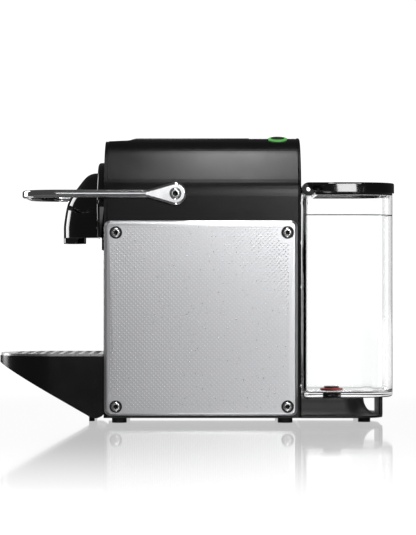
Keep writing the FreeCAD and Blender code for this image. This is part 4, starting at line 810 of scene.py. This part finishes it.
EYE_RADIUS = 9.3 * MM
EYE_BEVEL = 1.7 * MM
SCREW_HEAD = 4.6 * MM
SCREW_SEAT = 1.5 * MM
near_neck = math.pi + np.concatenate([-np.geomspace(0.5, 0.01, 28), [0.0], np.geomspace(0.01, 0.5, 28)])
eye_angle = np.concatenate([np.linspace(-math.pi + 0.52, math.pi - 0.52, 60), near_neck])
outer_face, inner_face = lever_high[0], LEVER_INSIDE


def drop(inset, half_depth):
    """One row of the eye: the drop moved in by an inset, with a neck of the given half depth."""
    return drop_reach(eye_angle, EYE_RADIUS - inset, half_depth)


def circle(radius):
    """One row of the eye: a circle round the pivot."""
    return 0 * eye_angle + radius


drop_rows = [(drop(0.0, BAR_HALF_DEPTH), inner_face + 0.3 * MM),
             (drop(0.0, BAR_HALF_DEPTH), outer_face - EYE_BEVEL),
             (drop(0.4 * MM, BAR_HALF_DEPTH - 0.35 * MM), outer_face - 1.05 * MM),
             (drop(EYE_BEVEL - 0.15 * MM, 1.62 * MM), outer_face - 0.08 * MM),
             (drop(EYE_BEVEL + 0.1 * MM, 1.45 * MM), outer_face),
             (drop(EYE_BEVEL + 0.35 * MM, 1.2 * MM), outer_face),
             (circle(SCREW_HEAD + 0.55 * MM), outer_face),
             (circle(SCREW_HEAD + 0.35 * MM), outer_face),
             (circle(SCREW_HEAD + 0.1 * MM), outer_face - 0.25 * MM),
             (circle(SCREW_HEAD + 0.1 * MM), outer_face - SCREW_SEAT),
             (circle(SHANK_HOLE), outer_face - SCREW_SEAT), (circle(SHANK_HOLE), inner_face),
             (drop(0.3 * MM, BAR_HALF_DEPTH - 0.3 * MM), inner_face)]
reach = np.array([row for row, _ in drop_rows])
eye_x = np.array([x for _, x in drop_rows])[:, None] + 0 * reach
eye_points = np.stack([eye_x, pivot[1] + reach * np.cos(eye_angle),
                       pivot[2] + reach * np.sin(eye_angle)], axis=-1)
eye = (eye_points, quads_of_grid(len(drop_rows), len(eye_angle), loop=True))
lever_piece = new_piece("lever_loop", [bar, eye] + other_side([eye]), chrome, "lever",
                        sharp=24.0)
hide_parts("lever")

# %% [markdown]
# A screw with a wide flat head sits in each eye and holds the lever to its hub. It is the same
# turned shape as the panel bolts, only larger, so the same function makes it.

# %% Pivot screws
screw_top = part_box("lever_screws")[1][0]
SCREW_ROOT = 39.0 * MM
SCREW_SOCKET = 2.0 * MM
pivot_screw = [bolt_shell((pivot[1], pivot[2]), SCREW_HEAD, BOLT_SHANK, screw_top,
                          screw_top - 1.3 * MM, SCREW_ROOT, SCREW_SOCKET)]
screws = new_piece("lever_screw_heads", pivot_screw + other_side(pivot_screw), bolt_steel, "lever",
                   sharp=28.0)
mark_socket_shade(screws, pivot[None, 1:], screw_top, SCREW_SOCKET)
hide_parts("lever_screws")


# %% [markdown]
# ## Brew head
# The nose of the head is a soft dome whose side outline falls ever more steeply, like a bell
# cut in half and set against the flange. It is that outline turned about an upright axis in
# the flange's face. The half that would lie behind the flange is pressed flat onto it, which
# closes the surface.

# %% Outlet dome
dome_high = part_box("outlet_housing")[1]
DOME_OUTLINE = np.array([(0.0, 0.0), (5.5, -0.25), (11.0, -3.6), (17.9, -12.2), (22.4, -18.0),
                         (25.4, -24.0), (27.2, -30.5), (28.3, -37.0), (29.2, -44.0),
                         (29.25, -50.0), (29.2, -53.6), (28.6, -54.1), (26.5, -54.1),
                         (0.0, -54.1)]) * MM


def smooth_line(points, count):
    """Points spread evenly on a curve through the given ones, by cubic steps between neighbours."""
    points = np.asarray(points, float)
    padded = np.concatenate([[2 * points[0] - points[1]], points, [2 * points[-1] - points[-2]]])
    place = np.linspace(0, len(points) - 1 - 1e-9, count)
    index = place.astype(int)
    t = (place - index)[:, None]
    before, start, stop, after = (padded[index + k] for k in range(4))
    return 0.5 * (2 * start + (stop - before) * t + (2 * before - 5 * start + 4 * stop - after) * t ** 2
                  + (3 * start - before - 3 * stop + after) * t ** 3)


upper = smooth_line(DOME_OUTLINE[:11], 46)
dome_line = np.concatenate([upper, DOME_OUTLINE[11:]])
DOME_SIDES = 96
turn = np.arange(DOME_SIDES) * 2 * math.pi / DOME_SIDES
radius, drop = dome_line[:, 0][:, None], dome_line[:, 1][:, None]
dome_points = np.stack([radius * np.sin(turn), dome_high[1] - np.maximum(radius * np.cos(turn), 0.0),
                        dome_high[2] + drop + 0 * turn], axis=-1)
dome = new_piece("outlet_dome", [(dome_points, quads_of_grid(len(dome_line), DOME_SIDES))],
                 gloss_black, "head", sharp=40.0)
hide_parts("outlet_housing")
print("dome reaches", round(float(dome_points[..., 1].min()) * 1000, 2), "mm")


# %% [markdown]
# Coffee leaves through a short round spout under the dome. It is turned about an upright axis,
# with a rounded lip and a hollow that narrows as it goes up.

# %% Spout
def turned_up(spot, profile, sides=48):
    """A profile of (radius, z) turned about an upright axis: x, y = spot + radius (cos, sin)."""
    angle = np.arange(sides) * 2 * math.pi / sides
    radius, height = np.array(profile, float).T[:, :, None]
    points = np.stack([spot[0] + radius * np.cos(angle), spot[1] + radius * np.sin(angle),
                       height + 0 * angle], axis=-1)
    return points, quads_of_grid(len(profile), sides)


spout_low, spout_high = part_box("spout")
spout_radius = (spout_high[0] - spout_low[0]) / 2
spout_spot = (0.0, spout_low[1] + spout_radius)
round_off = np.linspace(0.0, math.pi / 2, 7)
LIP = 0.9 * MM
mouth, spout_top = spout_low[2], spout_high[2] + 1.5 * MM
lip = [(spout_radius - LIP + LIP * math.sin(a), mouth + LIP - LIP * math.cos(a)) for a in round_off]
hollow = [(0.0, mouth + 6 * MM), (2.0 * MM, mouth + 6 * MM), (2.6 * MM, mouth + 3 * MM),
          (5.2 * MM, mouth + 1.0 * MM), (6.4 * MM, mouth)]
spout_profile = hollow + lip + [(spout_radius, spout_top), (0.0, spout_top)]
spout_piece = new_piece("outlet_spout", [turned_up(spout_spot, spout_profile)], gloss_black,
                        "head", sharp=40.0)
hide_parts("spout")


# %% [markdown]
# ## Fill line of the tank
# A raised line below the tank's rim shows how full it may be. It is a small bead carried
# along the tank's right wall, round the rear corner and across the rear, half sunk in the wall.

# %% Tank fill line
tank_low, tank_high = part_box("water_tank")
TANK_CORNER = 30.0 * MM
FILL_HEIGHT = 169.0 * MM
BEAD = 0.45 * MM


def bead_path(inset, per_corner=14):
    """From the front right along the wall, round a corner arc and across the rear."""
    turn = np.linspace(0.0, math.pi / 2, per_corner)
    half, rear, front = tank_high[0] - inset, tank_high[1] - inset, tank_low[1] + inset
    corner = TANK_CORNER - inset
    right = np.stack([half - corner + corner * np.cos(turn), rear - corner + corner * np.sin(turn)], -1)
    return np.concatenate([[(half, front)], right, right[-1:] * (-1, 1)])


bead_rows = [(0.6, -0.9), (-0.3, -0.9), (-0.3, 0.9), (0.6, 0.9)]
bead_points = np.array([np.insert(bead_path(0.2 * MM + BEAD * out), 2, FILL_HEIGHT + BEAD * rise, axis=1)
                        for out, rise in bead_rows])
bead_columns = bead_points.shape[1]
row_starts = np.arange(len(bead_rows)) * bead_columns
end_caps = np.array([row_starts, row_starts[::-1] + bead_columns - 1])
fill_grey = new_material("fill_line_grey", (0.03, 0.03, 0.032), rough=0.5)
vary(fill_grey, "Roughness", 0.4, 0.6, 300.0)
bead_quads = quads_of_grid(len(bead_rows), bead_columns, ring=False, loop=True)
new_piece("tank_fill_line", [(bead_points, [bead_quads, end_caps])], fill_grey, "tank")


# %% [markdown]
# ## Valve cap
# The cap on the tank's valve is a flat button that holds the red seal down. It is turned from
# a profile with a rounded rim.

# %% Valve cap
cap_low, cap_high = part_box("valve_cap")
cap_radius = (cap_high[0] - cap_low[0]) / 2
cap_spot = (0.0, (cap_low[1] + cap_high[1]) / 2)
ring_low, ring_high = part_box("tank_valve")
cap_top = ring_high[2] + 1.4 * MM
cap_low_face = ring_high[2] - 0.4 * MM
cap_profile = [(0.0, cap_low_face), (cap_radius - 1.0 * MM, cap_low_face),
               (cap_radius - 0.7 * MM, cap_top - 0.5 * MM), (cap_radius - 0.85 * MM, cap_top - 0.15 * MM),
               (cap_radius - 1.3 * MM, cap_top), (0.0, cap_top + 0.2 * MM)]
cap_piece = new_piece("valve_cap_button", [turned_up(cap_spot, cap_profile)], valve_black, "tank")
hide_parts("valve_cap")
print("valve cap", [round(float(v) * 1000, 2) for v in (*ring_low, *ring_high)])


# %% [markdown]
# ## Lid rim
# Seen from above, the lid's long sides are not straight: they swell by about two
# millimetres, which draws the light on them into one soft upright glint. The rim is a skirt
# round the lid. Its plan is that swelling side, x less a share of the squared distance from
# the middle, and then a round rear corner. Its rows go up the side and over the top edge.

# %% Lid rim
lid_low, lid_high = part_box("tank_lid")
SWELL = 2.2
SWELL_MIDDLE = 119.0 * MM
LID_FRONT = 97.0 * MM
LID_CORNER = 27.0 * MM
LID_BOTTOM = 187.0 * MM


def lid_plan(inset):
    """Right side with its swell, a rear corner of an ellipse, and the mirror of both."""
    half = lid_high[0] + 0.35 * MM
    rear = lid_high[1] - inset
    corner_y = rear - (LID_CORNER - inset)
    y = np.linspace(LID_FRONT, corner_y, 22)
    x = half - inset - SWELL * (y - SWELL_MIDDLE) ** 2
    turn = np.linspace(0.0, math.pi / 2, 22)[1:]
    corner_x = x[-1] - LID_CORNER + inset + (LID_CORNER - inset) * np.cos(turn)
    right = np.concatenate([np.stack([x, y], -1),
                            np.stack([corner_x, corner_y + (LID_CORNER - inset) * np.sin(turn)], -1)])
    return np.concatenate([right, right[::-1] * (-1, 1)])


lid_profile = [(1.6, LID_BOTTOM), (0.25, LID_BOTTOM), (0.0, LID_BOTTOM + 0.25 * MM),
               (0.0, lid_high[2] - 1.2 * MM), (0.15, lid_high[2] - 0.65 * MM),
               (0.5, lid_high[2] - 0.25 * MM), (1.1, lid_high[2] - 0.05 * MM), (1.9, lid_high[2])]
lid_rows = np.array([np.insert(lid_plan(inset * MM), 2, z, axis=1) for inset, z in lid_profile])
print("lid", [round(float(v) * 1000, 2) for v in (*lid_low, *lid_high)], "rim", lid_rows.shape)
lid_columns = lid_rows.shape[1]
lid_top = np.arange(lid_columns)[None] + (len(lid_profile) - 1) * lid_columns
lid_closed = [quads_of_grid(len(lid_profile), lid_columns), lid_top, np.arange(lid_columns)[None, ::-1]]
new_piece("lid_rim", [(lid_rows, lid_closed)], gloss_black, "tank_lid", sharp=32.0)


# %% [markdown]
# ## Tank base
# The tank stands on a pedestal whose wall sweeps out at its foot, as a quarter ellipse, into a
# thin plinth. Each row of the surface is the same plan, square at the front and round at the
# rear, with its own half width, reach and corner.

# %% Tank base
base_low, base_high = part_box("tank_base")
seat_low, seat_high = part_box("tank_seat")
BASE_TOP_HALF = 42.0 * MM
BASE_TOP_REAR = 137.5 * MM
BASE_TOP_CORNER = 18.5 * MM
PLINTH_TOP = 5.5 * MM
PLINTH_CORNER = 22.0 * MM
WELL_RADIUS = 11.0 * MM
SWEEP_REAR = 13.0 * MM


def round_back_plan(half, rear, corner, per_corner=12):
    """A plan from the front right, round the two rear corners, to the front left."""
    turn = np.linspace(0.0, math.pi / 2, per_corner)
    right = np.stack([half - corner + corner * np.cos(turn), rear - corner + corner * np.sin(turn)], -1)
    return np.concatenate([[(half, base_low[1])], right, right[::-1] * (-1, 1), [(-half, base_low[1])]])


sweep = np.linspace(0.0, math.pi / 2, 14)
sweep_side = base_high[0] - BASE_TOP_HALF
edge, sweep_top = 0.5 * MM, base_high[2] - 0.5 * MM
wall_rows = [(base_high[2], BASE_TOP_HALF - edge, BASE_TOP_REAR - edge, BASE_TOP_CORNER - edge),
             (base_high[2] - 0.15 * MM, BASE_TOP_HALF - 0.15 * MM, BASE_TOP_REAR - 0.15 * MM,
              BASE_TOP_CORNER)]
wall_rows += [(sweep_top - (sweep_top - PLINTH_TOP) * math.sin(a),
               BASE_TOP_HALF + sweep_side * (1 - math.cos(a)),
               BASE_TOP_REAR + SWEEP_REAR * (1 - math.cos(a)),
               BASE_TOP_CORNER + sweep_side * (1 - math.cos(a))) for a in sweep]
wall_rows += [(PLINTH_TOP, base_high[0], base_high[1] - 0.4 * MM, PLINTH_CORNER),
              (PLINTH_TOP - 0.4 * MM, base_high[0], base_high[1], PLINTH_CORNER),
              (base_low[2] + 0.3 * MM, base_high[0], base_high[1], PLINTH_CORNER),
              (base_low[2], base_high[0] - 0.3 * MM, base_high[1] - 0.3 * MM,
               PLINTH_CORNER - 0.3 * MM)]
base_rows = np.array([np.insert(round_back_plan(half, rear, corner), 2, z, axis=1)
                      for z, half, rear, corner in wall_rows])
columns = base_rows.shape[1]
bottom = np.arange(columns)[None, ::-1] + (len(wall_rows) - 1) * columns
row_starts = np.arange(len(wall_rows)) * columns
front_wall = np.concatenate([row_starts, (row_starts + columns - 1)[::-1]])
base_wall = (base_rows, [quads_of_grid(len(wall_rows), columns, ring=False), bottom, front_wall[None]])
seat_spot = (0.0, (seat_low[1] + seat_high[1]) / 2)
well, well_faces = turned_up(seat_spot, [(WELL_RADIUS, base_high[2]), (WELL_RADIUS, seat_low[2]),
                                         (0.0, seat_low[2])])
rim_loops = [[Vector(point) for point in edge] for edge in (base_rows[0], well[0])]
top_triangles = np.array(mathutils.geometry.tessellate_polygon(rim_loops))
base_top = (np.concatenate([base_rows[0], well[0]]), top_triangles)
base_piece = new_piece("tank_pedestal", [base_wall, base_top, (well, well_faces)], base_black,
                       "root", sharp=30.0)
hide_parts("tank_base")
